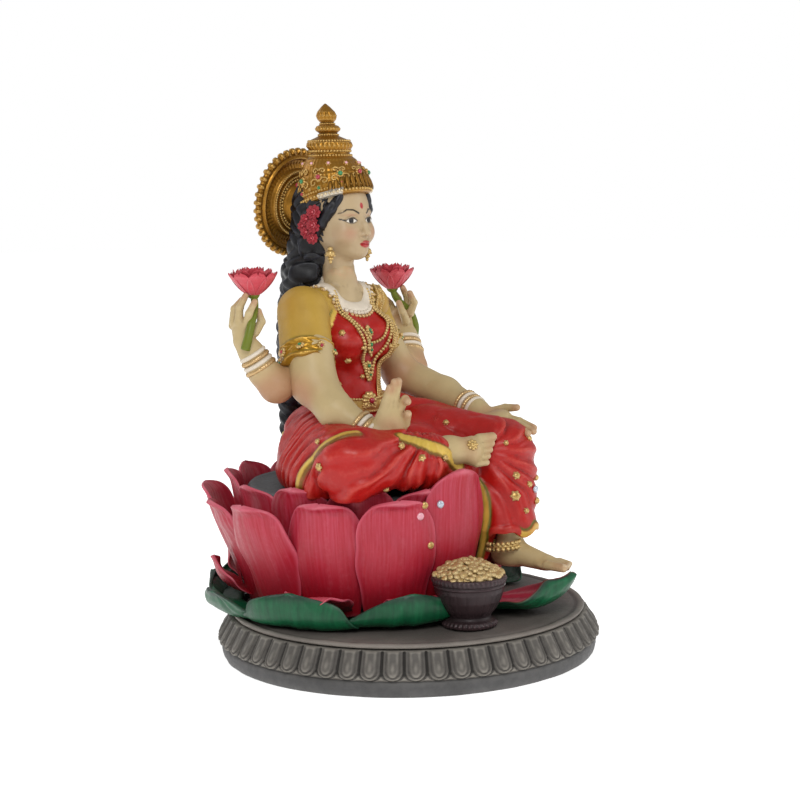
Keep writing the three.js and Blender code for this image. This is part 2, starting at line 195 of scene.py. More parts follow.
def skin_of(field, low, step):
    """Quads over the zero level of a grid of distances."""
    inside = field < 0
    shape = np.array(field.shape)
    cells, spots, quads = [], [], []
    for axis in range(3):
        cut = [slice(1, -1)] * 3
        ahead = list(cut)
        cut[axis], ahead[axis] = slice(0, -1), slice(1, None)
        here, there = inside[tuple(cut)], inside[tuple(ahead)]
        where = np.argwhere(here != there)
        base = where + 1
        base[:, axis] -= 1
        tip = base.copy()
        tip[:, axis] += 1
        fa, fb = field[tuple(base.T)], field[tuple(tip.T)]
        spot = base.astype(float)
        spot[:, axis] += fa / (fa - fb)
        u, v = (axis + 1) % 3, (axis + 2) % 3
        ring = []
        for du, dv in ((-1, -1), (0, -1), (0, 0), (-1, 0)):
            c = base.copy()
            c[:, u] += du
            c[:, v] += dv
            ring.append(np.ravel_multi_index(tuple(c.T), shape))
            spots.append(spot)
        cells += ring
        quad = np.stack(ring, 1)
        out = fa < 0
        quads.append(np.where(out[:, None], quad, quad[:, ::-1]))
    cells, spots, quads = np.concatenate(cells), np.concatenate(spots), np.concatenate(quads)
    used, back = np.unique(cells, return_inverse=True)
    count = np.bincount(back)
    verts = np.stack([np.bincount(back, spots[:, k]) / count for k in range(3)], 1)
    lookup = np.searchsorted(used, quads)
    return low + verts * step, lookup


def settle(fn, points, lift, turns=6):
    """Moves points onto the surface of a shape, at the given height above it."""
    p = np.array(points, float)
    for _ in range(turns):
        f, n = slope(fn, p)
        p = p - n * (f - lift)[:, None]
    return p


def slope(fn, p, e=0.05):
    """Distance at each point, and the way the surface faces there."""
    f = fn(p)
    g = np.stack([fn(p + e * np.eye(3)[k]) - f for k in range(3)], 1)
    return f, g / np.maximum(np.linalg.norm(g, axis=1), 1e-9)[:, None]


# ------------------------------------------------------------------ meshes


def facing(verts, faces):
    """The way the surface faces at each point of a mesh."""
    a, b, c = verts[faces[:, 0]], verts[faces[:, 1]], verts[faces[:, 2]]
    n = np.cross(b - a, c - a)
    if faces.shape[1] == 4:
        n = np.cross(verts[faces[:, 2]] - a, verts[faces[:, 3]] - b)
    total = np.stack(
        [np.bincount(faces.ravel(), np.repeat(n[:, k], faces.shape[1]), len(verts)) for k in range(3)], 1
    )
    return total / np.maximum(np.linalg.norm(total, axis=1), 1e-12)[:, None]


def relief_of(verts, faces, spread=3):
    """How proud (+) or sunken (-) each point is against its neighbours."""
    a = faces.ravel()
    b = np.roll(faces, -1, axis=1).ravel()
    n = len(verts)
    count = np.maximum(np.bincount(a, minlength=n) + np.bincount(b, minlength=n), 1)

    def mean(x):
        return (np.bincount(a, x[b], n) + np.bincount(b, x[a], n)) / count

    around = np.stack([mean(verts[:, k]) for k in range(3)], 1)
    edge = np.linalg.norm(verts[a] - verts[b], axis=1)
    size = np.bincount(a, edge, n) / np.maximum(np.bincount(a, minlength=n), 1)
    value = ((verts - around) * facing(verts, faces)).sum(1) / np.maximum(size, 1e-9)
    for _ in range(spread):
        value = mean(value)
    return value


def weld(verts, faces):
    """Joins points that lie together, and drops faces that shrink to nothing."""
    key = np.round(verts / 1e-4).astype(np.int64)
    _, first, back = np.unique(key, axis=0, return_index=True, return_inverse=True)
    faces = back.ravel()[faces]
    same = faces == np.roll(faces, -1, axis=1)
    whole = faces[~same.any(axis=1)].tolist()
    for row, gone in zip(faces[same.sum(axis=1) == 1], same[same.sum(axis=1) == 1]):
        rest = row[~gone].tolist()
        if len(set(rest)) >= 3:
            whole.append(rest)
    return first, whole


def build(name, verts, faces, material, node, slot, masks=None, relief=3, gain=1.0):
    """A finished mesh piece; masks are painted areas kept as point attributes."""
    mesh = bpy.data.meshes.new(name)
    values = dict(masks or {})
    values["relief"] = relief_of(verts, faces, relief) * gain if relief else np.zeros(len(verts))
    kept, whole = weld(verts, faces)
    mesh.from_pydata((verts[kept] * MM).tolist(), [], whole)
    mesh.shade_smooth()
    for key, value in values.items():
        value = np.asarray(value, np.float32)[kept]
        if value.ndim == 2:
            layer = mesh.attributes.new(key, "FLOAT_VECTOR", "POINT")
            layer.data.foreach_set("vector", value.ravel())
        else:
            layer = mesh.attributes.new(key, "FLOAT", "POINT")
            layer.data.foreach_set("value", value)
    mesh.materials.append(material)
    piece = bpy.data.objects.new(name, mesh)
    bpy.context.scene.collection.objects.link(piece)
    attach(piece, "root")
    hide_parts(node)
    return piece


def sculpt(name, fn, node, slot, material, step, grow=2.0, paint=None, relief=3, box=None):
    """Meshes a distance shape inside its CAD node's box."""
    low, high = box or (corner(node, 0) - grow, corner(node, 1) + grow)
    field, low = sample(fn, low, high, step)
    verts, faces = skin_of(field, low, step)
    f, n = slope(fn, verts)
    verts = verts - n * np.clip(f, -step, step)[:, None] * 0.7
    masks = paint(verts, facing(verts, faces)) if paint else None
    return build(name, verts, faces, material, node, slot, masks, relief, 1.6)


def grid_faces(rows, cols, wrap_rows=False, wrap_cols=False):
    """Quads over a grid of points, joined up at the ends where asked."""
    i, j = np.meshgrid(
        np.arange(rows if wrap_rows else rows - 1), np.arange(cols if wrap_cols else cols - 1), indexing="ij"
    )
    i, j = i.ravel(), j.ravel()
    up, on = (i + 1) % rows, (j + 1) % cols
    return np.stack([i * cols + j, i * cols + on, up * cols + on, up * cols + j], 1)


def turned(profile, segments, shape=None):
    """Surface of revolution about +Z, profile from the bottom centre round to the top centre."""
    r, z = np.array(profile, float).T
    t = np.arange(segments) * TAU / segments
    rr, zz = np.repeat(r[:, None], segments, 1), np.repeat(z[:, None], segments, 1)
    if shape:
        rr, zz = shape(rr, zz, t[None])
    verts = np.stack([rr * np.sin(t), -rr * np.cos(t), zz], -1).reshape(-1, 3)
    return verts, grid_faces(len(r), segments, wrap_cols=True)


def fine_profile(points, step):
    """A profile with extra points along its straight runs."""
    p = np.array(points, float)
    rows = [p[:1]]
    for a, b in zip(p, p[1:]):
        n = max(1, int(np.ceil(np.linalg.norm(b - a) / step)))
        rows.append(a + (b - a) * (np.arange(1, n + 1) / n)[:, None])
    return np.vstack(rows)


def capped(verts, faces, sides, first, last):
    """Closes both ends of a skin made of rings, with a fan to a middle point."""
    j = np.arange(sides)
    k = (j + 1) % sides
    base, top = len(verts) - sides, len(verts) + 1
    low = np.stack([np.full(sides, len(verts)), k, j, j], 1)
    high = np.stack([np.full(sides, top), base + j, base + k, base + k], 1)
    return np.vstack([verts, first, last]), np.vstack([faces, low, high])


def tube(path, radius, sides=10, closed=False, flat=1.0, up=None):
    """Round or flattened tube along a path; radius may vary along it."""
    path = np.array(path, float)
    n = len(path)
    radius = np.broadcast_to(np.array(radius, float), (n,))
    if closed:
        run = np.roll(path, -1, 0) - np.roll(path, 1, 0)
    else:
        run = np.gradient(path, axis=0)
    run /= np.maximum(np.linalg.norm(run, axis=1), 1e-9)[:, None]
    if up is None:
        side = np.zeros_like(path)
        guess = np.cross(run[0], [0.31, 0.22, 0.93])
        for i in range(n):
            guess = guess - run[i] * (guess @ run[i])
            guess /= np.linalg.norm(guess)
            side[i] = guess
        rise = np.cross(run, side)
    else:
        rise = np.broadcast_to(up, path.shape)
        rise = rise - run * (rise * run).sum(1)[:, None]
        rise /= np.maximum(np.linalg.norm(rise, axis=1), 1e-9)[:, None]
        side = np.cross(rise, run)
    t = np.arange(sides) * TAU / sides
    rows = path[:, None] + radius[:, None, None] * (
        side[:, None] * np.cos(t)[None, :, None] + flat * rise[:, None] * np.sin(t)[None, :, None]
    )
    verts = rows.reshape(-1, 3)
    faces = grid_faces(n, sides, wrap_rows=closed, wrap_cols=True)
    return (verts, faces) if closed else capped(verts, faces, sides, path[0], path[-1])


def ball(centre, radii, turn=None, rows=7, cols=12):
    """An ellipsoid as a small mesh."""
    v = np.linspace(-math.pi / 2, math.pi / 2, rows)
    u = np.arange(cols) * TAU / cols
    v, u = np.meshgrid(v, u, indexing="ij")
    p = np.stack([np.cos(v) * np.cos(u), np.cos(v) * np.sin(u), np.sin(v)], -1).reshape(-1, 3)
    p = p * np.broadcast_to(np.array(radii, float), (3,))
    if turn is not None:
        p = p @ np.array(turn).T
    return p + np.array(centre, float), grid_faces(rows, cols, wrap_cols=True)


def merge(parts):
    """One mesh from several (verts, faces) pairs, and which part each point is in."""
    verts, faces, owner, base = [], [], [], 0
    for i, (v, f) in enumerate(parts):
        verts.append(v)
        faces.append(f + base)
        owner.append(np.full(len(v), i))
        base += len(v)
    return np.vstack(verts), np.vstack(faces), np.concatenate(owner)


def frame_at(n, up=(0, 0, 1)):
    """Rotation whose third column is n."""
    n = unit(n)
    side = np.cross(up, n)
    if np.linalg.norm(side) < 1e-6:
        side = np.array([1.0, 0, 0])
    side /= np.linalg.norm(side)
    return np.stack([side, np.cross(n, side), n], 1)


def ring_noise(r, z, t, size, seed):
    """Noise over a turned surface."""
    place = np.stack(np.broadcast_arrays(r * np.sin(t), r * np.cos(t), z), -1).reshape(-1, 3)
    return noise3(place, size, seed).reshape(r.shape)


# ------------------------------------------------------------------ materials


def paint_of(code):
    """Linear colour from an sRGB hex code."""
    c = np.array([int(code[i : i + 2], 16) for i in (1, 3, 5)]) / 255
    c = np.where(c <= 0.04045, c / 12.92, ((c + 0.055) / 1.055) ** 2.4)
    return (*c, 1.0)


def fill(tree, node, ins):
    """Sets a node's inputs from numbers, colours or other nodes' sockets."""
    for key, value in ins.items():
        if isinstance(value, bpy.types.NodeSocket):
            tree.links.new(value, node.inputs[key])
        else:
            node.inputs[key].default_value = value


def put(tree, kind, ins=None, **props):
    """Adds a node with the given properties and inputs."""
    node = tree.nodes.new(kind)
    for key, value in props.items():
        setattr(node, key, value)
    fill(tree, node, ins or {})
    return node


def mix(tree, factor, a, b, blend="MIX"):
    node = put(tree, "ShaderNodeMix", {0: factor, 6: a, 7: b}, data_type="RGBA", blend_type=blend)
    return node.outputs[2]


def blend_value(tree, factor, a, b):
    return put(tree, "ShaderNodeMix", {0: factor, 2: a, 3: b}, data_type="FLOAT").outputs[0]


def calc(tree, op, a, b=0.0, c=0.0):
    return put(tree, "ShaderNodeMath", {0: a, 1: b, 2: c}, operation=op, use_clamp=False).outputs[0]


def spread(tree, value, low, high, out_low=0.0, out_high=1.0):
    """Moves a value from one range to another."""
    node = put(tree, "ShaderNodeMapRange", {0: value, 1: low, 2: high, 3: out_low, 4: out_high})
    return node.outputs[0]


def group(name, inputs, outputs):
    """A node group, with the sockets of its two ends."""
    tree = bpy.data.node_groups.new(name, "ShaderNodeTree")
    for label, kind, default in inputs:
        socket = tree.interface.new_socket(label, in_out="INPUT", socket_type=kind)
        if default is not None:
            socket.default_value = default
    for label, kind in outputs:
        tree.interface.new_socket(label, in_out="OUTPUT", socket_type=kind)
    return tree, tree.nodes.new("NodeGroupInput").outputs, tree.nodes.new("NodeGroupOutput").inputs


def use(tree, shared, ins):
    """Puts a shared node group in a material."""
    node = tree.nodes.new("ShaderNodeGroup")
    node.node_tree = shared
    fill(tree, node, ins)
    return node.outputs


def painted_area(tree, key, output="Fac"):
    """A value kept at each point of the mesh."""
    return put(tree, "ShaderNodeAttribute", None, attribute_name=key).outputs[output]


FLOAT, COLOR, VECTOR = "NodeSocketFloat", "NodeSocketColor", "NodeSocketVector"
BLACK = (0, 0, 0, 1)


def make_shade_and_highlight_wash():
    """Darkens the hollows, partly the statue's dark antiquing paint and partly painted shade; lightens the ridges,
    partly dry-brushing and partly painted highlight; and gives uneven cover.
    """
    tree, i, o = group(
        "antique_wash_with_painted_shade_and_highlight",
        [
            ("Color", COLOR, BLACK),
            ("Dark", COLOR, BLACK),
            ("Light", COLOR, BLACK),
            ("Dark amount", FLOAT, 0.6),
            ("Light amount", FLOAT, 0.4),
            ("Mottle", FLOAT, 0.2),
            ("Scale", FLOAT, 300.0),
        ],
        [("Color", COLOR), ("Hollow", FLOAT)],
    )
    where = tree.nodes.new("ShaderNodeTexCoord").outputs["Object"]
    relief = painted_area(tree, "relief")
    broad = put(tree, "ShaderNodeTexNoise", {"Vector": where, "Scale": i["Scale"], "Detail": 4.0})
    finer = calc(tree, "MULTIPLY", i["Scale"], 6.0)
    tight = put(tree, "ShaderNodeTexNoise", {"Vector": where, "Scale": finer, "Detail": 3.0})
    height = calc(tree, "ADD", relief, spread(tree, tight.outputs[0], 0.3, 0.7, -0.03, 0.03))
    hollow = spread(tree, height, -0.02, -0.22)
    ridge = spread(tree, height, 0.03, 0.2)
    # painted shade in the hollows and painted highlight on the ridges, over the statue's own antiquing
    tone = mix(tree, calc(tree, "MULTIPLY", hollow, i["Dark amount"]), i["Color"], i["Dark"])
    tone = mix(tree, calc(tree, "MULTIPLY", ridge, i["Light amount"]), tone, i["Light"])
    cloud = calc(tree, "MULTIPLY", spread(tree, broad.outputs[0], 0.35, 0.65), i["Mottle"])
    tone = mix(tree, cloud, tone, mix(tree, 0.5, tone, i["Dark"]))
    tree.links.new(tone, o["Color"])
    tree.links.new(hollow, o["Hollow"])
    return tree


def make_strokes():
    """Fine brush strokes along a petal: streaks that run with its length."""
    tree, i, o = group(
        "brush_strokes", [("Across", FLOAT, 60.0), ("Along", FLOAT, 3.0), ("Seed", FLOAT, 0.0)],
        [("Streak", FLOAT)]
    )
    split = put(tree, "ShaderNodeSeparateXYZ", {0: painted_area(tree, "blade_uv", "Vector")})
    x = calc(tree, "MULTIPLY", split.outputs[0], i["Across"])
    y = calc(tree, "MULTIPLY", split.outputs[1], i["Along"])
    z = calc(tree, "ADD", split.outputs[2], i["Seed"])
    joined = put(tree, "ShaderNodeCombineXYZ", {0: x, 1: y, 2: z}).outputs[0]
    streak = put(tree, "ShaderNodeTexNoise", {"Vector": joined, "Scale": 1.0, "Detail": 3.0, "Roughness": 0.6})
    tree.links.new(spread(tree, streak.outputs[0], 0.32, 0.68), o["Streak"])
    return tree


def make_grain():
    """Small unevenness of a hand-painted surface, as a normal."""
    tree, i, o = group(
        "paint_grain", [("Scale", FLOAT, 900.0), ("Strength", FLOAT, 0.15)],
        [("Normal", VECTOR), ("Speck", FLOAT)]
    )
    where = tree.nodes.new("ShaderNodeTexCoord").outputs["Object"]
    fine = put(tree, "ShaderNodeTexNoise", {"Vector": where, "Scale": i["Scale"], "Detail": 5.0,
                                            "Roughness": 0.6})
    normal = put(tree, "ShaderNodeBump", {"Height": fine.outputs[0], "Strength": i["Strength"],
                                          "Distance": 0.0004})
    tree.links.new(normal.outputs[0], o["Normal"])
    tree.links.new(spread(tree, fine.outputs[0], 0.35, 0.65), o["Speck"])
    return tree


SHADE_AND_HIGHLIGHT_WASH, STROKES, GRAIN = make_shade_and_highlight_wash(), make_strokes(), make_grain()


def painted(name, base, dark, light, rough=0.5, metal=0.0, amounts=(0.6, 0.35), mottle=0.25, scale=260.0,
            layers=(), grain=(900.0, 0.15), streaks=None, coat=0.0):
    """A painted resin surface. layers are (mask, colour, roughness, metalness) painted over the base."""
    material = bpy.data.materials.new(name)
    material.use_nodes = True
    tree = material.node_tree
    shader = tree.nodes["Principled BSDF"]
    tone = paint_of(base)
    if streaks:
        across, along, colour, amount = streaks
        streak = use(tree, STROKES, {"Across": across, "Along": along})["Streak"]
        place = put(tree, "ShaderNodeSeparateXYZ", {0: painted_area(tree, "blade_uv", "Vector")})
        rise = spread(tree, place.outputs[1], 0.12, 0.85)
        cover = calc(tree, "MULTIPLY", calc(tree, "MULTIPLY", streak, rise), amount)
        tone = mix(tree, cover, tone, paint_of(colour))
    rough_value, metal_value = rough, metal
    metal_varies = any(layer[3] != metal for layer in layers)
    for mask, colour, r, m in layers:
        area = painted_area(tree, mask)
        tone = mix(tree, area, tone, paint_of(colour))
        rough_value = blend_value(tree, area, rough_value, r)
        metal_value = blend_value(tree, area, metal_value, m) if metal_varies else metal
    # the dark colour goes into the hollows and the light one onto the ridges: partly the statue's own antiquing and
    # dry-brushing, partly painted shade and painted highlight
    shaded_wash = use(tree, SHADE_AND_HIGHLIGHT_WASH, {
        "Color": tone,
        "Dark": mix(tree, 0.8, tone, paint_of(dark), "MULTIPLY"),
        "Light": mix(tree, 0.55, tone, paint_of(light)),
        "Dark amount": amounts[0], "Light amount": amounts[1], "Mottle": mottle, "Scale": scale,
    })
    tree.links.new(shaded_wash["Color"], shader.inputs["Base Color"])
    skin = use(tree, GRAIN, {"Scale": grain[0], "Strength": grain[1]})
    tree.links.new(skin["Normal"], shader.inputs["Normal"])
    worn = calc(tree, "MULTIPLY_ADD", skin["Speck"], 0.12, calc(tree, "SUBTRACT", rough_value, 0.06))
    tree.links.new(calc(tree, "ADD", worn, calc(tree, "MULTIPLY", shaded_wash["Hollow"], 0.12)),
                   shader.inputs["Roughness"])
    if metal_varies:
        tree.links.new(metal_value, shader.inputs["Metallic"])
    plain = {"Coat Weight": coat, "Specular IOR Level": 0.35, "Coat Roughness": 0.35}
    for key, value in (plain if metal_varies else {**plain, "Metallic": metal}).items():
        shader.inputs[key].default_value = value
    return material


# ------------------------------------------------------------------ camera, floor and light


CAMERA_SPOT = (-0.4450, -0.3734, 0.1502)
CAMERA_TURN, CAMERA_TILT, CAMERA_LEVEL = -49.865, 83.24, -1.09
CAMERA_LENS = 81.87
LAMP_AIM = Vector((0, 0.015, 0.08))
LAMPS = [  # name, spot, size, power
    ("key_softbox", (-0.85, -0.75, 0.95), 0.7, 9.0),
    ("side_softbox", (0.75, -0.9, 0.55), 0.9, 3.4),
    ("back_softbox", (-0.3, 1.1, 0.7), 0.9, 3.4),
]


def tilt(degrees, axis):
    return Matrix.Rotation(math.radians(degrees), 4, axis)


def place_camera():
    """Long lens a little above the base, turned to the figure's right side."""
    data = bpy.data.cameras.new("studio_camera")
    data.lens = CAMERA_LENS
    data.sensor_width = 36.0
    data.clip_end = 20.0
    camera = bpy.data.objects.new("studio_camera", data)
    turn = tilt(CAMERA_TURN, "Z") @ tilt(CAMERA_TILT, "X")
    camera.matrix_world = Matrix.Translation(CAMERA_SPOT) @ turn @ tilt(CAMERA_LEVEL, "Z")
    bpy.context.scene.collection.objects.link(camera)
    bpy.context.scene.camera = camera


def lamp(name, spot, size, power):
    data = bpy.data.lights.new(name, "AREA")
    data.shape = "DISK"
    data.size = size
    data.energy = power
    light = bpy.data.objects.new(name, data)
    light.location = spot
    light.rotation_euler = (LAMP_AIM - Vector(spot)).to_track_quat("-Z", "Y").to_euler()
    bpy.context.scene.collection.objects.link(light)


def light_studio():
    world = bpy.data.worlds.new("studio_white")
    bpy.context.scene.world = world
    world.use_nodes = True
    tree = world.node_tree
    seen = tree.nodes.new("ShaderNodeLightPath").outputs["Is Camera Ray"]
    strength = blend_value(tree, seen, 0.42, 1.0)
    background = tree.nodes["Background"]
    background.inputs["Color"].default_value = (1, 1, 1, 1)
    tree.links.new(strength, background.inputs["Strength"])
    for one in LAMPS:
        lamp(*one)
    scene = bpy.context.scene
    scene.view_settings.view_transform = "Standard"


def lay_floor():
    verts, faces = turned([(0, 0), (200, 0), (600, 0), (4000, 0)], 64)
    mesh = bpy.data.meshes.new("studio_floor")
    kept, whole = weld(verts, faces)
    mesh.from_pydata((verts[kept] * MM).tolist(), [], whole)
    floor = bpy.data.objects.new("studio_floor", mesh)
    material = bpy.data.materials.new("floor_paper")
    material.use_nodes = True
    tree = material.node_tree
    shader = tree.nodes["Principled BSDF"]
    where = tree.nodes.new("ShaderNodeTexCoord").outputs["Object"]
    fibre = put(tree, "ShaderNodeTexNoise", {"Vector": where, "Scale": 60.0, "Detail": 4.0})
    tree.links.new(mix(tree, fibre.outputs[0], (0.93, 0.93, 0.93, 1), (0.96, 0.96, 0.96, 1)),
                   shader.inputs["Base Color"])
    shader.inputs["Roughness"].default_value = 0.95
    shader.inputs["Specular IOR Level"].default_value = 0.1
    shader.inputs["Emission Color"].default_value = (1, 1, 1, 1)
    shader.inputs["Emission Strength"].default_value = 0.66
    mesh.materials.append(material)
    bpy.context.scene.collection.objects.link(floor)


place_camera()
light_studio()
lay_floor()

# ------------------------------------------------------------------ paints

# The base paints put near-black in the grooves and pale grey on the ridges: partly antiquing, partly painted shade and
# painted highlight.
STONE = painted("stone_paint", "#57534e", "#161614", "#a39d92", 0.6, amounts=(0.95, 0.75), mottle=0.5, scale=90.0,
                grain=(1400.0, 0.25))
PLINTH = painted("plinth_paint", "#4c4b4b", "#17171a", "#8f8d88", 0.58, amounts=(0.8, 0.6), mottle=0.7, scale=70.0,
                 grain=(1400.0, 0.25))
PLATE = painted("plate_paint", "#67605b", "#26221f", "#a29a90", 0.6, amounts=(0.85, 0.7), mottle=0.75, scale=45.0,
                grain=(1200.0, 0.3))
POD = painted("pod_paint", "#4b4e50", "#1f2122", "#83878a", 0.6, mottle=0.4, scale=120.0)
PETAL = painted("petal_paint", "#a31326", "#4c0712", "#dc8a96", 0.44, amounts=(0.7, 0.45), mottle=0.22, scale=120.0,
                layers=(("rim", "#c24f62", 0.45, 0.0), ("root", "#9a0f20", 0.42, 0.0)),
                streaks=(20.0, 2.6, "#c05066", 0.5), coat=0.05)
LEAF = painted("leaf_paint", "#00472a", "#01120b", "#2a8a5c", 0.4, amounts=(0.8, 0.5), mottle=0.45, scale=110.0,
               layers=(("rim", "#1c2c26", 0.45, 0.0), ("blush", "#a8203a", 0.45, 0.0)),
               streaks=(12.0, 2.0, "#0c6a3e", 0.55), coat=0.05)
BRONZE = painted("pot_paint", "#332628", "#0b0708", "#7a5c60", 0.4, 0.2, amounts=(0.8, 0.6), mottle=0.5)
GOLD = painted("gold_paint", "#a67c34", "#2c1a06", "#f2dca0", 0.36, 0.6, amounts=(0.9, 0.8), mottle=0.25, scale=500.0)
# The pale colour on the coins' rounded edges is painted highlight.
COINS = painted("coin_paint", "#a5803f", "#3a250c", "#ecdcae", 0.4, 0.35, amounts=(0.95, 0.8), mottle=0.3, scale=500.0)

# ------------------------------------------------------------------ round base


def make_base():
    outline = fine_profile([(0, 0), (57, 0), (59.2, 0), (59.9, 0.4), (60.3, 1.4), (60.7, 3.2), (60.6, 4.6),
                            (60.0, 5.3),
                            (57, 5.4), (0, 5.4)], 1.2)

    def worn(r, z, t):
        lumps = ring_noise(r, z, t, 6.0, 3) * 0.22 + ring_noise(r, z, t, 1.8, 4) * 0.06
        return r + ramp(r, 56, 59) * lumps, z

    build("plinth", *turned(outline, 480, worn), PLINTH, "plinth", "stone")

    top, foot, count = 13.6, 5.0, 56
    rim = fine_profile([(57.4, top), (57.9, 12.6), (59.2, 10.4), (60.6, 8.0), (61.5, 6.6), (61.5, 5.8),
                        (60.6, 5.2), (59.4, foot)], 0.2)
    outline = [(0, foot), (50, foot), *rim[::-1].tolist(), (56.6, top), (50, top), (0, top)]

    def tongues(r, z, t):
        x = ((t * count / TAU) % 1 - 0.5) * 6.7 + 0 * z
        y = 12.9 - z + 0 * t
        width, round_from = 2.95, 4.3
        d = np.where(y < round_from, np.abs(x), np.hypot(x, y - round_from)) - width
        rise = 0.75 * ramp(-d, -0.15, 0.25) - 0.5 * bump(d, -0.72, 0.24) + 0.2 * ramp(-d, 0.95, 1.6)
        rise += 0.38 * bump(np.hypot(x, (y - 3.6) / 2.0), 0, 0.8) - 0.35 * bump(d, 0.38, 0.22)
        side = ramp(r, 56.8, 57.6) * ramp(z, foot, foot + 0.5) * ramp(top - z, 0.0, 0.35)
        return r + side * (rise - 0.35 + ring_noise(r, z, t, 2.4, 8) * 0.07), z

    build("petal_band", *turned(outline, count * 20, tongues), STONE, "petal_band", "stone", gain=3.2)

    outline = fine_profile([(0, 13.9), (55.8, 13.9), (56.7, 14.1), (57, 14.6), (56.8, 15.1), (56.1, 15.35),
                            (55.2, 15.2),
                            (54.7, 14.75), (54.0, 14.7), (53.4, 15.1), (52.4, 15.2), (0, 15.2)], 1.2)

    def cast_top(r, z, t):
        rings = 0.05 * np.sin(r * 2.2 + 3 * np.sin(t))
        lumps = ring_noise(r, 0 * r, t, 7.0, 5) * 0.12 + ring_noise(r, 0 * r, t, 2.2, 6) * 0.06
        return r, z + ramp(z, 14.4, 15) * (rings + lumps) * ramp(r, 0, 5)

    build("top_plate", *turned(outline, 420, cast_top), PLATE, "top_plate", "plate", gain=3.0)


# ------------------------------------------------------------------ lotus


def blade(angle, spine, widths, thick=1.8, cup=1.5, wave=0.4, ribs=0.1, seed=0, rows=60, sides=84, wrap=1.0,
          rib_count=26):
    """A petal or leaf standing round the lotus: spine as (radius, height), widths as (share of length, half width)."""
    rng = np.random.default_rng(seed)
    phase = rng.uniform(0, TAU, 4)
    heading = math.radians(angle)
    line = smooth_path(spine, rows)
    v = np.linspace(0, 1, rows)[:, None]
    calm = ramp(1 - v, 0.0, 0.16)
    run = np.gradient(line, axis=0)
    run /= np.linalg.norm(run, axis=1)[:, None]
    out_r, out_z = run[:, 1:2], -run[:, 0:1]
    table = smooth_path(widths, 90)
    half = np.interp(v[:, 0], table[:, 0], table[:, 1])[:, None]
    th = np.arange(sides)[None] * TAU / sides
    u = np.cos(th)
    face = np.sign(np.sin(th)) * np.abs(np.sin(th)) ** 0.6
    rim = np.maximum(np.abs(u) ** 3, ramp(v, 0.86, 1.0))
    body = thick / 2 * (1 - 0.3 * v) * (1 - 0.35 * rim)
    off = face * body - cup * u**2 * ramp(v, -0.1, 0.5) * (0.25 + 0.75 * calm)
    off = off + calm * wave * np.abs(u) ** 2.5 * np.sin(v * 9 + phase[0] + np.sign(u) * 1.7) * ramp(v, 0.15,
                                                                                                    0.6)
    off = off + wave * 0.35 * np.sin(u * 4.2 + phase[1]) * np.sin(v * 5.3 + phase[2])
    grooves = np.sin(u * rib_count + 0.9 * np.sin(v * 3 + phase[3]) + 2 * np.sin(u * 5 + phase[1]))
    off = off + ribs * grooves * np.sign(face) * ramp(1 - np.abs(u), 0.0, 0.12) * ramp(v, 0.02, 0.2) * calm
    off = off + 0.28 * thick * rim * ramp(v, 0.3, 0.7) * (face > 0)
    edge = 1 + 0.035 * wave * np.sin(v * 17 + phase[2]) * np.abs(u)
    x = u * half * edge
    radius = line[:, 0:1] + out_r * off
    height = line[:, 1:2] + out_z * off + calm * wave * 0.8 * u**2 * np.sin(v * 4 + phase[1]) * ramp(v, 0.5,
                                                                                                     0.9)
    turn = heading + x * wrap / np.maximum(line[:, 0:1], 8)
    slip = x * (1 - wrap)
    to_left = radius * np.sin(turn) + slip * math.cos(heading)
    to_back = LOTUS_Y - radius * np.cos(turn) + slip * math.sin(heading)
    verts = np.stack([to_left, to_back, height], -1).reshape(-1, 3)
    faces = grid_faces(rows, sides, wrap_cols=True)
    verts, faces = capped(verts, faces, sides, verts[:sides].mean(0), verts[-sides:].mean(0))
    outward = np.array([math.sin(heading), -math.cos(heading), -0.2])
    if facing(verts, faces)[sides * (rows // 2) + sides // 4] @ outward < 0:
        faces = faces[:, ::-1]

    def mask(value):
        flat = np.broadcast_to(value, (rows, sides)).ravel()
        return np.concatenate([flat, [flat[0], flat[-1]]])

    masks = {
        "blade_uv": np.stack([mask(u * half / 12), mask(v + 0 * u), mask(seed * 3.7 + (face < 0) * 1.3)], 1),
        "rim": mask(np.clip(bump(np.abs(u), 1, 0.06) + ramp(v, 0.95, 1.0), 0, 1)) * 0.8,
        "root": mask(ramp(1 - v, 0.72, 1.0)),
        "blush": mask(ramp(-face, 0.0, 0.4) + 0 * v),
    }
    return verts, faces, masks


def blades(name, node, slot, material, leaves, gain=1.6):
    """Several blades as one piece."""
    verts, faces, _ = merge([(v, f) for v, f, _ in leaves])
    masks = {key: np.concatenate([m[key] for _, _, m in leaves]) for key in leaves[0][2]}
    return build(name, verts, faces, material, node, slot, masks, 2, gain)


LOWER_PETALS = [(90, 1), (126, 1), (161, 1), (197, 1), (230, 1.1), (292, 0.1), (332, 0.0)]  # (angle, rise)
PETAL_WIDTHS = [(0, 8.6), (0.2, 10.8), (0.45, 12.9), (0.66, 13.3), (0.82, 11.9), (0.92, 8.8), (0.975, 4.8),
                (1, 0.6)]
PETAL_TIPS = {8: 50.5, 9: 52.5, 10: 54, 11: 55, 12: 62.5}
PETAL_START, PETAL_STEP = 43.5, 27.7  # degrees round from the front toward the left
PETAL_SHAPES = {}  # points of each outer petal, for the studs set on them


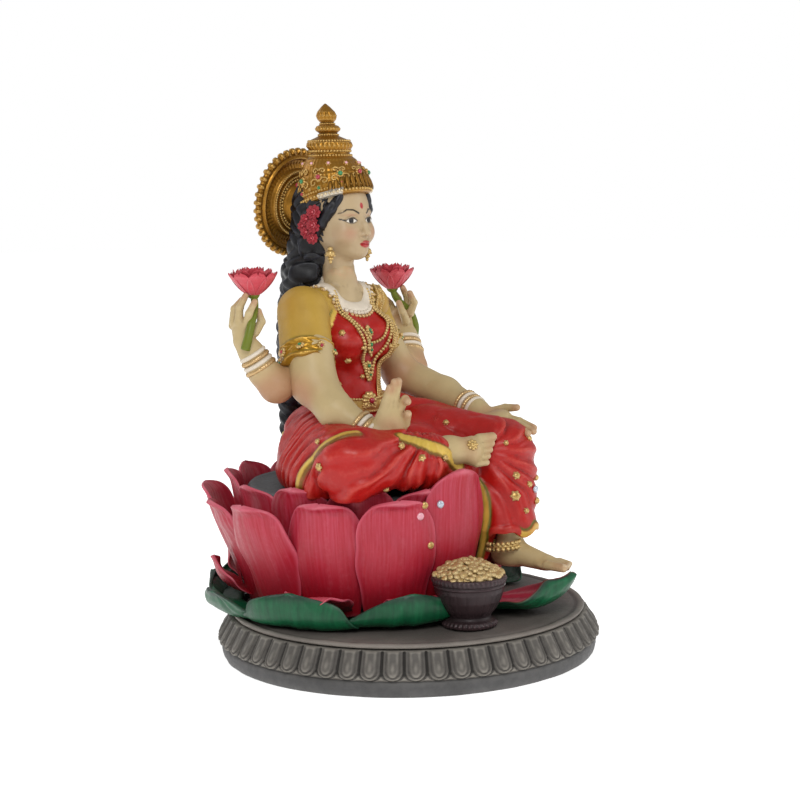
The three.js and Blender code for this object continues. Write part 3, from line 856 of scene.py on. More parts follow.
def make_lotus():
    for i in range(12):
        angle = PETAL_START + PETAL_STEP * i + (2.5 if i > 7 else 0)
        layer = 1.5 if i % 2 == 0 else -1.1
        tip = PETAL_TIPS.get(i + 1, 53.5 + 2 * math.cos(math.radians(angle + 30)))
        flare = 1.4 if i < 11 else -0.5
        lean = 1.4 if 5 < i < 9 else 0
        spine = [(39.0 + layer, 17.0), (43.6 + layer - lean, 27), (47.4 + layer, 39),
                 (48.4 + layer + lean, tip - 7),
                 (49.0 + layer + lean * 1.5, tip - 2.5), (49.8 + layer + flare + lean * 1.6, tip)]
        v, f, m = blade(angle, spine, PETAL_WIDTHS, 1.9, 2.2, 0.55, 0.09, 20 + i)
        build(f"outer_petal_{i + 1}", v, f, PETAL, f"outer_petal_{i + 1}", "petal", m, 2, 1.6)
        PETAL_SHAPES[i + 1] = v
    inner = []
    for i in range(1, 12):
        angle = PETAL_START + PETAL_STEP * (i - 0.5) + (3 if i > 7 else 0)
        tip = 57.8 + 1.2 * math.sin(i * 2.1)
        spine = [(38.6, 30), (40.8, 40), (42.2, 50), (43.4, tip - 3), (45.2, tip)]
        widths = [(0, 9), (0.35, 11.6), (0.62, 12.0), (0.82, 10.0), (0.93, 6.2), (1, 0.6)]
        inner.append(blade(angle, spine, widths, 1.7, 1.6, 0.5, 0.09, 50 + i, rows=44, sides=64))
    blades("inner_petals", "inner_petals", "petal", PETAL, inner)
    lower = []
    for i, (angle, rise) in enumerate(LOWER_PETALS):
        tip = 24.8 + 5.8 * rise
        spine = [(39.6, 19.2), (44.6, 21.4), (48.4, 23.4 + 1.6 * rise), (50.4 + 3.2 * (1 - min(rise, 1)), tip)]
        if rise < 0.5:
            spine.append((55.4, 22.4))
        widths = [(0, 9), (0.35, 11), (0.65, 9.6), (0.88, 5.6), (1, 0.5)]
        lower.append(blade(angle, spine, widths, 1.5, 1.2, 0.7, 0.09, 80 + i, rows=40, sides=60))
    blades("lower_petals", "lower_petals", "petal", PETAL, lower)
    pod = fine_profile([(0, 15.5), (34, 15.5), (35, 24), (36.5, 44), (37.6, 51), (38.2, 53), (37.4, 54),
                        (35, 53.6),
                        (0, 53.2)], 1.5)

    def knobbly(r, z, t):
        return r + ring_noise(r, z, t, 4.0, 9) * 0.3 * ramp(r, 2, 20), z

    v, f = turned(pod, 220, knobbly)
    build("seat_pod", v + [0, LOTUS_Y, 0], f, POD, "seat_pod", "pod")


LEAF_START, LEAF_STEP = 72.5, 35.5
LEAF_WIDTHS = [(0, 14), (0.2, 17), (0.42, 19.6), (0.62, 19.4), (0.8, 15.4), (0.93, 8.4), (1, 0.8)]


def make_leaves():
    for i in range(8):
        angle = LEAF_START + LEAF_STEP * i + {7: 5, 6: 1}.get(i, 0)
        layer = 0.8 if i % 2 else 0.0
        tip = {4: 23.5, 6: 27.6, 7: 27.2}.get(i, 25.5)
        reach = {3: -2.0, 4: -4.6}.get(i, 0.0)
        spine = [(41.5, 16.0 + layer), (47.5, 15.9 + layer), (53.0 + reach, 16.8 + layer), (55.4 + reach, 19.8),
                 (56.0 + reach, tip - 2.6), (55.6 + reach, tip)]
        if i == 5:
            spine = [(41.5, 16.0), (47, 16.0), (51.6, 16.8), (53.8, 19.2), (54.6, 21.6), (55.0, 23.6)]
        v, f, m = blade(angle, spine, LEAF_WIDTHS, 1.7, 0.9, 0.9, 0.16, 110 + i, rib_count=11, sides=96)
        m["blush"] = m["blush"] * 0.0
        m["rim"] = np.clip(ramp(m["blade_uv"][:, 1], 0.84, 0.97) + m["rim"], 0, 1) * 0.85
        build(f"leaf_{i + 1}", v, f, LEAF, f"leaf_{i + 1}", "leaf", m, 2, 1.8)
    spine = [(42, 16.2), (52, 16.4), (62, 17.4), (68.5, 20.4), (72.6, 24.6), (74.6, 28.8)]
    widths = [(0, 11), (0.3, 14.6), (0.55, 14.8), (0.78, 11.4), (0.93, 5.6), (1, 0.5)]
    v, f, m = blade(12, spine, widths, 2.0, 4.6, 0.8, 0.16, 131, rib_count=11, wrap=0.2, sides=96)
    build("front_leaf", v, f, LEAF, "front_leaf", "leaf", m, 2, 1.8)


# ------------------------------------------------------------------ pot of gold

POT_X, POT_Y = at("pot")[:2]
POT_Z = corner("pot", 0)[2]
COINS_SHOWN = 150
GOLDEN_ANGLE = 2.39996  # radians; spreads the nuggets evenly


def make_pot():
    outline = fine_profile([(0, 0), (7.6, 0), (8.3, 0.3), (8.5, 1.1), (8.0, 1.9), (7.0, 2.5), (6.5, 3.2),
                            (6.9, 4.0),
                            (8.3, 5.8), (9.6, 8.2), (10.5, 11), (10.8, 12.4), (11.2, 12.8), (11.0, 13.4),
                            (11.4, 13.9),
                            (11.6, 14.8), (11.3, 15.6), (10.6, 15.8), (10.0, 15.2), (9.6, 13.6), (0, 13)], 0.3)

    def moulded(r, z, t):
        lobes = 0.16 * np.sqrt(np.abs(np.cos(t * 11))) * ramp(z, 3.6, 5.4) * ramp(12.4 - z, 0.0, 1.4)
        beads = 0.22 * np.cos(t * 34) * bump(z, 1.1, 0.7)
        notch = 0.12 * np.cos(t * 48) * bump(z, 14.7, 0.7)
        return r + (lobes + beads + notch) * ramp(r, 5.5, 6.4), z

    v, f = turned(outline, 400, moulded)
    build("pot", v + [POT_X, POT_Y, POT_Z], f, BRONZE, "pot", "bronze", gain=1.2)
    rng = np.random.default_rng(7)
    top = POT_Z + 15.0
    parts = [ball((POT_X, POT_Y, top), (9.8, 9.8, 4.4), rows=14, cols=40)]
    for k in range(COINS_SHOWN):
        reach = 10.4 * math.sqrt((k + 0.5) / COINS_SHOWN)
        turn = k * GOLDEN_ANGLE
        x, y = POT_X + reach * math.cos(turn), POT_Y + reach * math.sin(turn)
        z = top + 4.5 * max(0, 1 - (reach / 10.8) ** 2) + rng.uniform(-0.2, 0.7) + 0.4
        n = np.array([math.cos(turn) * reach / 14, math.sin(turn) * reach / 14, 1]) + rng.normal(0, 0.35, 3)
        size = rng.uniform(0.95, 1.4)
        v, f = ball((0, 0, 0), (size, size * rng.uniform(0.8, 1.0), size * rng.uniform(0.45, 0.7)), rows=7,
                    cols=10)
        v = v + rng.normal(0, 0.05, v.shape) * (np.abs(v[:, 2:]) < size * 0.4)
        parts.append((v @ frame_at(n).T + [x, y, z], f))
    v, f, _ = merge(parts)
    build("coin_heap", v, f, COINS, "coin_heap", "gold", relief=1, gain=1.0)


make_base()
make_lotus()
make_leaves()
make_pot()

# ------------------------------------------------------------------ cloth and body shapes

SKIN = painted("skin_paint", "#b7a276", "#6a4c26", "#dccfae", 0.45, amounts=(0.5, 0.35), mottle=0.18, scale=180.0,
               layers=(("blush", "#a3604a", 0.45, 0.0), ("nail", "#c8b08e", 0.3, 0.0)), grain=(1500.0, 0.08))
FACE = painted("face_paint", "#b09a78", "#70503a", "#d8c8ae", 0.42, amounts=(0.35, 0.25), mottle=0.08, scale=180.0,
               layers=(("blush", "#a8604e", 0.45, 0.0), ("white", "#e9e4da", 0.3, 0.0), ("lip", "#a01e22", 0.3, 0.0),
                       ("dark", "#15100f", 0.35, 0.0)), grain=(1500.0, 0.05))
# The blue-grey on the hair's ridges is partly dry-brushing and partly painted sheen.
HAIR = painted("hair_paint", "#0a0a0e", "#020203", "#3a3c4a", 0.42, amounts=(0.8, 0.6), mottle=0.1)
# The deep red in the fold valleys is painted shade; the pink on the fold crests is partly dry-brushing and partly
# painted highlight.
SARI = painted("sari_paint", "#a8120c", "#3c0203", "#e4705e", 0.4, amounts=(0.9, 0.6), mottle=0.22, scale=160.0,
               layers=(("skin", "#b49e78", 0.45, 0.0), ("blouse", "#ad8b36", 0.5, 0.0), ("gold", "#cfae48", 0.4, 0.12),
                       ("olive", "#59601a", 0.45, 0.1)), coat=0.06)
BLOUSE = painted("blouse_paint", "#b08d38", "#7a4310", "#dcc07c", 0.5, amounts=(0.6, 0.4), mottle=0.3, scale=160.0,
                 layers=(("gold", "#b08428", 0.34, 0.6), ("olive", "#6a6420", 0.45, 0.1)))
OLD_GOLD = painted("old_gold_paint", "#9a6c22", "#241404", "#f0cf86", 0.36, 0.7, amounts=(0.9, 0.75), mottle=0.25,
                   scale=400.0, layers=(("silver", "#c9c4b8", 0.3, 0.5),))
CREAM = painted("cream_paint", "#cfc2ae", "#6a4a38", "#f2ece0", 0.4, amounts=(0.7, 0.4), mottle=0.2, scale=500.0,
                layers=(("gold", "#b98c30", 0.34, 0.6),))
FLOWER = painted("flower_paint", "#c64450", "#7a1c28", "#f0b0b6", 0.45, amounts=(0.75, 0.6), mottle=0.25, scale=400.0,
                 layers=(("gold", "#b98c30", 0.36, 0.5),))
STEM = painted("stem_paint", "#5f6a14", "#2a2e08", "#98a23c", 0.45, amounts=(0.5, 0.25), mottle=0.2, scale=400.0)
RUBY = painted("ruby_glaze", "#8c0a18", "#2c0206", "#e0506a", 0.12, amounts=(0.3, 0.5), coat=0.6)
EMERALD = painted("emerald_glaze", "#0b5a2c", "#02200e", "#4cc07c", 0.12, amounts=(0.3, 0.5), coat=0.6)
CRYSTAL = painted("crystal_glaze", "#a9b4c2", "#4c5866", "#f4f8ff", 0.1, 0.3, amounts=(0.3, 0.6), coat=0.8)
ROSE_STONE = painted("rose_glaze", "#d08a96", "#703440", "#ffd8de", 0.15, amounts=(0.3, 0.6), coat=0.6)


def crease(x, power=2.0):
    """Soft-topped folds with narrow valleys."""
    return np.abs(np.cos(x)) ** power


def along(p, a, b):
    """Share of the way along a line, angle round it from its upper side, and distance from it."""
    a, b = np.array(a, float), np.array(b, float)
    axis = unit(b - a)
    q = p - a
    t = q @ axis / np.linalg.norm(b - a)
    side = np.cross(axis, [0, 0, 1.0])
    side = unit(side) if np.linalg.norm(side) > 1e-3 else np.array([1.0, 0, 0])
    top = np.cross(side, axis)
    return t, np.arctan2(q @ side, q @ top), np.hypot(q @ side, q @ top)


def near_path(p, path):
    """Distance to a polyline, and how far along it."""
    best, where = np.full(len(p), 1e9), np.zeros(len(p))
    pts = np.array(path, float)
    for i in range(len(pts) - 1):
        a, d = pts[i], pts[i + 1] - pts[i]
        t = np.clip((p - a) @ d / (d @ d), 0, 1)
        r = np.linalg.norm(p - a - t[:, None] * d, axis=1)
        closer = r < best
        best, where = np.where(closer, r, best), np.where(closer, (i + t) / (len(pts) - 1), where)
    return best, where


THIGH = ((-12, 22.5, 67.4), (-36, -8.8, 65.6))
CALF = ((-36, -8.8, 65.6), (-11, -17.8, 65.4))
LEFT_THIGH = ((12, 20.5, 68.5), (19, -22.6, 63))
THIGH_BORDER = smooth_path([(-37, -12.6, 77.4), (-40.6, -10, 76.6), (-43.6, -6.8, 75.2), (-44.2, -1.8, 72.2),
                            (-42.6, 5, 67),
                             (-42.4, 7.4, 62), (-40, 9.6, 54)], 28)
FOOT_BORDER = smooth_path([(-23, -18.6, 74.4), (-19.9, -21.1, 73), (-16.7, -23.4, 71.2), (-12.9, -25.5, 69.2),
                           (-8.1, -26.3, 66.4),
                            (-1.8, -24.6, 62.4)], 24)
SHIN_BORDER = smooth_path([(6.2, -21.5, 58), (6.6, -26.8, 51), (6.4, -26.6, 41), (7.2, -23.0, 31)], 24)


def knee_folds(p):
    """Fine folds that fan out from beside the right foot, over the left knee and down the shin."""
    x, y, z = p.T
    warp = noise3(p, 9, 21) * 0.8 + noise3(p, 4, 22) * 0.3
    across = np.hypot(x - 6.5, 0.6 * (y + 27)) * np.sign(x - 2) + 0.4
    fan = np.arctan2(z - 66, across)
    far = np.hypot(x - 6.5, z - 66)
    return (0.95 * crease(fan * 8.5 + warp * 0.7, 1.1) + 0.3 * crease(fan * 19 + warp * 2, 1.5)) * ramp(far, 2,
                                                                                                        12)


def skirt_base(p):
    return grow(
        p,
        bone(p, (-9.6, 26.8, 66.6), (9.6, 26.8, 66.6), 12.8, 12.8),
        (3.0, (-9.6, 26.6, 59), (9.6, 26.6, 59), 13.4, 13.4),
        (3.0, *THIGH, 12.4, 9.9),
        (2.0, *CALF, 9.9, 7.4),
        (2.5, *LEFT_THIGH, 12.4, 11.0),
        (4.0, (-14, 4, 64), (12, -6, 65), 9, 8.6),
        (3.0, (-19, 24, 61), (-33, 6, 59.6), 10.5, 8.6),
        (3.0, (-10, -16, 61), (6, -17, 60), 6.5, 6.5),
        (2.0, (19, -22.6, 63), (18.4, -25.4, 56), 10.8, 9.8),
    )


THIGH_BORDER = settle(skirt_base, THIGH_BORDER, 0.1)
FOOT_BORDER = settle(skirt_base, FOOT_BORDER, 0.1)


def skirt_shape(p):
    """Folds fan from the top of the foot over the crossed leg, and follow the border over the hip."""
    f = skirt_base(p)
    warp = noise3(p, 11, 11) * 0.9 + noise3(p, 5, 12) * 0.45
    x, y, z = p.T
    knee = ramp(x, 5, 9) * ramp(-y, 2, 10)
    side = 0.643 * x - 0.766 * y
    fan = np.arctan2(z - 77, side - 8)
    far = np.hypot(z - 77, side - 8)
    leg = crease(fan * 6.4 + warp, 1.5) * ramp(far, 3, 11) + 0.5 * crease(fan * 15 + warp * 2.4, 1.6)
    edge, _ = near_path(p, THIGH_BORDER)
    hip = crease(edge * 0.62 + warp * 0.7, 1.0) + 0.3 * crease(edge * 1.7 + warp * 2, 1.5)
    on_hip = ramp(-side, 23, 27)
    round_back = crease(np.arctan2(x, y - 12) * 8 + z * 0.15 + warp, 1.3)
    behind = ramp(y, 22, 30)
    lap = crease(np.arctan2(y - 14, x + 2) * 6 + warp, 1.3) * ramp(x, -16, -6)
    folds = (1 - on_hip) * leg + on_hip * hip
    folds = folds * (1 - behind) + round_back * behind
    over = ramp(x, -14, -4) * (1 - knee)
    folds = folds * (1 - over) + (0.8 * lap + 0.4) * over
    folds = knee_folds(p) * knee + folds * (1 - knee)
    calm = 1.0
    for path in (THIGH_BORDER, FOOT_BORDER):
        calm = calm * (1 - 0.75 * ramp(4.2 - near_path(p, path)[0], 0, 2.4))
    f = f - 1.3 * folds * calm - 0.12 * noise3(p, 2.0, 13)
    for path, wide in ((THIGH_BORDER, 1.5), (FOOT_BORDER, 2.1)):
        d, _ = near_path(p, path)
        f = f - 0.6 * ramp(wide + 0.4 - d, 0, 0.5) + 0.3 * bump(d, 0, 0.4)
    return np.maximum(f, 54.35 - z)


def sari_areas(x, **areas):
    """Painted areas of the sari, empty where none is given."""
    return {key: areas.get(key, 0 * x) for key in ("gold", "olive", "skin", "blouse")}


def skirt_paint(v, n):
    d, _ = near_path(v, THIGH_BORDER)
    e, _ = near_path(v, FOOT_BORDER)
    gold = np.maximum(ramp(1.4 - d, 0, 0.3), ramp(2.1 - e, 0, 0.3))
    olive = np.maximum(bump(d, 1.5, 0.4), bump(e, 2.2, 0.45))
    return sari_areas(d, gold=gold, olive=olive * 0.8)


def drape_hem(x, y):
    turn = np.arctan2(x - 16, -(y + 28))
    return 39.6 + 0.8 * np.sin(turn * 5) + 0.5 * np.sin(turn * 9 + 1)


def drape_shape(p):
    x, y, z = p.T
    f = bone(p, (18.6, -25.2, 58), (15.8, -29.8, 42), 10.2, 8.2)
    f = f - 0.95 * knee_folds(p) + 0.2
    hem = drape_hem(x, y)
    f = f - 0.7 * ramp(hem + 3.0 - z, 0, 1.2)
    f = np.maximum(f, hem - z)
    f = carve(f, bone(p, (15, -30, 30), (15, -30, 41), 5.4, 5.0), 0.6)
    tail = limb(p, [((10, -20.5, 59), 2.8), ((9.6, -26.6, 51), 2.8), ((9.4, -26.6, 41), 2.5),
                    ((9.8, -23.4, 31.5), 1.7)], 1)
    d, _ = near_path(p, SHIN_BORDER)
    return melt(f, tail - 0.25 * crease(z * 0.5 + y * 0.4, 2), 1.0) - 0.4 * ramp(1.9 - d, 0, 0.5)


def drape_paint(v, n):
    x, y, z = v.T
    hem = drape_hem(x, y) + 2.4
    d, _ = near_path(v, SHIN_BORDER)
    low = (x > 11.5) * 1.0
    gold = np.maximum(ramp(hem - z, 0, 0.4) * low, ramp(1.7 - d, 0, 0.4))
    olive = np.maximum(bump(z, hem + 0.3, 0.5) * low, bump(d, 1.7, 0.5))
    return sari_areas(d, gold=gold * 0.9, olive=olive)


def torso_base(p):
    f = grow(
        p,
        blob(p, (0, 26.0, 77), (13.4, 11.6, 10)),
        (3, (0, 25.4, 78), (0, 25.4, 92), 10.6, 10.4),
        (3.5, (0, 26.4, 101), (16.2, 10.8, 13.4)),
    )
    for side in (-1, 1):
        chest = (2.6, (side * 7.2, 18.4, 100.4), (6.8, 6.8, 7.0))
        shoulder = (2.5, (side * 5, 27, 113), (side * 16, 27 + side, 110.4), 5.2, 6.6)
        f = grow(p, f, chest, shoulder)
    return grow(p, f, (2.5, (0, 27.2, 110), (0, 26.8, 122), 6.2, 5.1))


def blouse_edge(v):
    """Signed distance out from the edge where the sari gives way to the blouse."""
    x, _, z = v.T
    edge = np.interp(z, [88, 93, 98, 103, 107, 111, 116], [18, 17.5, 16.6, 15.0, 12.6, 9.6, 7.0])
    return np.abs(x) - edge


def torso_shape(p):
    f = torso_base(p)
    x, y, z = p.T
    warp = noise3(p, 7, 31) * 0.8
    red = ramp(-blouse_edge(p), -0.2, 0.4)
    f = f - 0.45 * red * crease(z * 0.42 + x * 0.16 + warp, 1.5) * ramp(z, 78, 84) * ramp(30 - y, 0, 6)
    f = f - 0.45 * bump(blouse_edge(p), 0.2, 1.1) * ramp(32 - y, 0, 4) * ramp(z, 90, 93)
    return f - 0.1 * noise3(p, 2.0, 32)


def torso_paint(v, n):
    _, y, z = v.T
    front = ramp(33 - y, 0, 1.5)
    edge = blouse_edge(v)
    blouse = np.maximum(ramp(edge, -0.1, 0.3) * ramp(z, 88, 90) * front, (1 - front) * ramp(z, 92, 93))
    gold = (bump(edge, 0.1, 1.0) > 0.45) * ramp(z, 88, 90) * front
    gold = np.maximum(gold, bump(z, 92, 0.9) * (1 - front))
    skin = ramp(z - 0.55 * (y - 25.2), 113.0, 113.6)
    olive = bump(edge, 1.3, 0.3) * front * ramp(z, 90, 92)
    return sari_areas(edge, skin=skin, blouse=blouse, gold=gold * (1 - skin), olive=olive * (1 - skin))


def sleeve_axis(side):
    if side > 0:
        return (17.0, 30.6, 109.6), (21.4, 28.0, 94.6)
    return (-19.2, 25.6, 110.2), (-26.4, 17.2, 94.0)


def sleeve_shape(side):
    a, b = sleeve_axis(side)

    def shape(p):
        end = np.array(b) + (np.array(b) - np.array(a)) * 0.16
        f = bone(p, a, end, 8.3 if side < 0 else 7.6, 8.1 if side < 0 else 7.4)
        t, turn, _ = along(p, a, b)
        warp = noise3(p, 6, 41) * 0.7
        f = f - 0.35 * crease(turn * 2.2 + t * 3.5 + warp, 1.5) * ramp(t, 0, 0.3) * ramp(0.8 - t, 0, 0.1)
        band = ramp(t, 0.70, 0.725)
        scroll = np.cos(turn * 13 + 2.2 * np.sin(t * 40)) * np.sin((t - 0.74) * 46) * ramp(0.96 - t, 0, 0.03)
        f = f - band * (0.35 + 0.22 * scroll) - 0.3 * bump(t, 0.73, 0.018) - 0.3 * bump(t, 0.985, 0.02)
        f = f - 0.14 * crease(turn * 17, 2) * bump(t, 0.985, 0.03)
        wave = 0.35 * np.sin(turn * 6)
        cut = (t - 1.0) * 19.6 - wave
        return np.maximum(f, cut) - 0.05 * noise3(p, 1.8, 42)

    return shape


def sleeve_paint(side):
    a, b = sleeve_axis(side)

    def paint(v, n):
        t, _, _ = along(v, a, b)
        return {"gold": ramp(t, 0.70, 0.73), "olive": np.maximum(bump(t, 0.70, 0.022),
                                                                 bump(t, 0.95, 0.016)) * 0.7}

    return paint


# ------------------------------------------------------------------ arms, hands and feet


def finger(joints, r0, r1):
    """Stations of one finger, thinning to its tip."""
    return [(j, r0 + (r1 - r0) * k / (len(joints) - 1)) for k, j in enumerate(joints)]


def nearest(p, bones):
    """Distance to the closest of several bones."""
    return np.minimum.reduce([bone(p, *one) for one in bones])


def tip_gap(v, tips):
    """Distance from each point to the closest fingertip or nail."""
    return np.min(np.linalg.norm(v[:, None] - np.array(tips)[None], axis=2), axis=1)


def digit_shape(p, digits):
    return np.minimum.reduce([limb(p, finger(joints, r0, r1), 0.35) for joints, r0, r1 in digits])


def front_right_digits():
    a, up, n = np.array([0.866, -0.5, 0]), np.array([0.03, -0.2, 0.98]), np.array([-0.5, -0.85, -0.15])
    root = np.array([-21.3, -12.0, 80.6])
    digits = []
    for across, length, lean in ((-2.5, 7.8, 0.12), (-0.7, 9.6, 0.06), (1.1, 9.8, 0.0)):
        s = root + a * across
        digits.append(([s, s + up * length * 0.45 + a * lean * 5, s + up * length + a * lean * 9 + n * 0.3],
                       1.5, 1.15))
    s = root + a * 2.9 - up * 1.2
    digits.append(([s, s + up * 3.4 + a * 0.5 + n * 0.4, s + up * 5.4 + a * 0.9 + n * 1.6,
                    s + up * 5.0 + a * 1.2 + n * 3.0],
                   1.5, 1.2))
    s = np.array([-20.9, -10.4, 74.4]) + a * 3.8
    digits.append(([s, s + a * 1.2 + up * 2.6 + n * 1.2, s + a * 0.9 + up * 6.0 + n * 3.0], 1.9, 1.3))
    return digits


def front_left_digits():
    digits = []
    for x, length, drop in ((21.6, 9.4, -2.6), (23.6, 11.4, -2.6), (25.6, 12.0, -2.2), (27.5, 10.6, -1.4)):
        s = np.array([x, -20.0, 73.8])
        e = s + [(x - 24.6) * 0.12 - 0.6, -length - 0.8, drop - 1.0]
        digits.append(([s, s * 0.5 + e * 0.5 + [0, 0, 0.5], e], 1.5, 1.15))
    digits.append(([(28.0, -13.5, 75.2), (30.6, -17.5, 76.6), (31.0, -22, 77.0)], 1.7, 1.15))
    return digits


def rear_digits(side, x, z):
    """Fingers closed loosely round the stem of a flower."""
    s = side
    return [
        ([(x + s * 1.6, 28.2, z + 1.5), (x + s * 1.8, 26.6, z + 5.2), (x - s * 0.6, 26.4, z + 8.6)], 1.4, 1.0),
        ([(x + s * 2.6, 30.4, z + 2), (x + s * 2.4, 30.2, z + 6.8), (x - s * 0.2, 30.0, z + 10.4)], 1.45, 1.0),
        ([(x + s * 2.4, 32.8, z + 2), (x + s * 1.4, 33.4, z + 6.4), (x - s * 1.6, 33.0, z + 9.0)], 1.4, 1.0),
        ([(x + s * 1.2, 34.6, z + 1), (x - s * 0.4, 35.6, z + 4.8), (x - s * 3.0, 34.8, z + 6.4)], 1.3, 0.95),
        ([(x - s * 1.6, 27.6, z - 1.0), (x - s * 4.0, 27.0, z + 2.2), (x - s * 4.2, 28.4, z + 5.4)], 1.5, 1.05),
    ]


def arm_shape(stations, palm, digits):
    centre, half, n, up = palm
    n = unit(n)
    up = np.array(up, float)
    up = unit(up - n * (up @ n))
    turn = np.stack([np.cross(up, n), up, n], 1)

    def shape(p):
        f = limb(p, stations, 2.2)
        q = (p - np.array(centre)) @ turn
        hollow = 0.5 * bump(np.hypot(q[:, 0], q[:, 1]), 0, 2.2) * (q[:, 2] > 0)
        f = melt(f, blob(p, centre, half, turn) + hollow, 1.5)
        f = melt(f, digit_shape(p, digits), 0.7)
        return f - 0.04 * noise3(p, 1.5, 51)

    return shape


def arm_paint(palm, elbow, digits):
    centre, _, n, _ = palm
    n = unit(n)
    tips = [d[0][-1] for d in digits]

    def paint(v, nv):
        d = np.linalg.norm(v - np.array(centre), axis=1)
        blush = 0.35 * ramp(6.5 - d, 0, 4) * ramp(nv @ n, -0.2, 0.6)
        blush = np.maximum(blush, 0.55 * bump(np.linalg.norm(v - np.array(elbow), axis=1), 5.2, 3.0))
        blush = np.maximum(blush, 0.5 * bump(tip_gap(v, tips), 0.9, 1.2))
        return {"blush": np.clip(blush, 0, 1), "nail": 0 * d}

    return paint


ARMS = {
    "front_right_arm": dict(
        stations=[((-24.6, 17.7, 98), 7.4), ((-26.6, 14.9, 88.6), 7.2), ((-28.0, 4.6, 80.6), 5.5),
                  ((-24.4, -7.4, 73.4), 3.8),
                  ((-22.6, -10.2, 72.6), 3.7)],
        palm=((-21.2, -11.4, 75.6), (5.4, 7.4, 2.8), (-0.5, -0.85, -0.15), (0, -0.1, 1)),
        digits=front_right_digits(), elbow=(-29.6, 15.6, 85)),
    "front_left_arm": dict(
        stations=[((21.6, 27.8, 98), 6.4), ((25.6, 22.6, 86.4), 6.0), ((28.4, 6, 80.4), 5.2),
                  ((25.8, -9.2, 75.8), 3.7),
                  ((25.4, -12, 75), 3.4)],
        palm=((24.8, -16.4, 74.0), (5.5, 6.8, 2.6), (-0.15, 0.1, 1), (0, -1, -0.12)),
        digits=front_left_digits(), elbow=(25.6, 22.6, 86)),
    "rear_right_arm": dict(
        stations=[((-29, 24, 90), 5.0), ((-34.4, 23.6, 88), 5.2), ((-37.4, 26.2, 92.6), 4.6),
                  ((-40, 28.6, 98.6), 3.6),
                  ((-41.6, 30, 102), 3.4)],
        palm=((-42.0, 31.0, 105.4), (3.6, 4.8, 2.7), (1, -0.4, 0.1), (0, 0, 1)),
        digits=rear_digits(-1, -40.8, 106), elbow=(-34.4, 23.6, 87)),
    "rear_left_arm": dict(
        stations=[((29, 24, 90), 5.0), ((32, 23.6, 88), 5.2), ((34, 26.2, 92.2), 4.6),
                  ((35.8, 28.6, 97.6), 3.6),
                  ((36.8, 30.6, 101), 3.4)],
        palm=((37.2, 31.8, 104.0), (3.6, 4.8, 2.7), (-1, -0.4, 0.1), (0, 0, 1)),
        digits=rear_digits(1, 36.2, 104.4), elbow=(32, 23.6, 87)),
}


def left_foot_shape(p):
    f = limb(p, [((15, -30.6, 41), 4.0), ((15, -30.2, 35), 4.1), ((15, -29, 32.6), 4.0)], 1.5)
    heel = (1.5, (14.8, -27.4, 31.6), (15.2, -31, 31.6), 3.6, 3.8)
    instep = (2.2, (15.2, -31, 33), (16.2, -43.5, 30.6), 4.2, 2.7)
    f = grow(p, f, heel, instep, (1.5, (16.4, -45, 30.3), (4.5, 4.6, 1.9)))
    toes = [((13.2, -46.5, 30.6), (12.9, -52.6, 30.4), 1.55, 1.35)]
    for k in range(4):
        x = 15.6 + 1.85 * k
        toes.append(((x, -46.8 + 0.5 * k, 30.4), (x + 0.2, -52.0 + 0.9 * k, 30.0), 1.15, 0.95 - 0.06 * k))
    f = melt(f, nearest(p, toes), 0.8)
    return np.maximum(f, 28.4 - p[:, 2]) - 0.04 * noise3(p, 1.5, 52)


def left_foot_paint(v, n):
    y = v[:, 1]
    tips = [(12.9, -53.2, 31.4)] + [(15.8 + 1.85 * k, -52.6 + 0.9 * k, 30.9) for k in range(4)]
    blush = 0.35 * bump(y, -28, 3) + 0.35 * ramp(-y, 47, 52)
    return {"blush": blush, "nail": ramp(0.9 - tip_gap(v, tips), 0, 0.3)}


def right_foot_toes():
    toes = []
    for k in range(5):
        r = 1.7 - 0.2 * min(k, 3)
        z = 70.4 - 1.95 * k
        toes.append(((5.0 - 0.35 * k, -26.3, z - 0.3), (9.0 - 0.75 * k, -28.4, z), r, r * 0.88))
    return toes


def right_foot_shape(p):
    f = limb(p, [((-12, -17, 67), 4.6), ((-3.6, -21.2, 67), 4.4), ((1.6, -24.4, 66.8), 4.0)], 2.0)
    f = melt(f, blob(p, (3.0, -25.4, 66.4), (3.8, 2.8, 4.6)), 1.8)
    return melt(f, nearest(p, right_foot_toes()), 0.6) - 0.04 * noise3(p, 1.5, 53)


def right_foot_paint(v, n):
    x = v[:, 0]
    tips = [np.array(b) + [0.8, -1.0, 0.3] for _, b, _, _ in right_foot_toes()]
    return {"blush": 0.35 * ramp(x, 4, 8) + 0.25 * bump(x, -1, 3), "nail": ramp(0.9 - tip_gap(v, tips), 0, 0.3)}


# ------------------------------------------------------------------ head


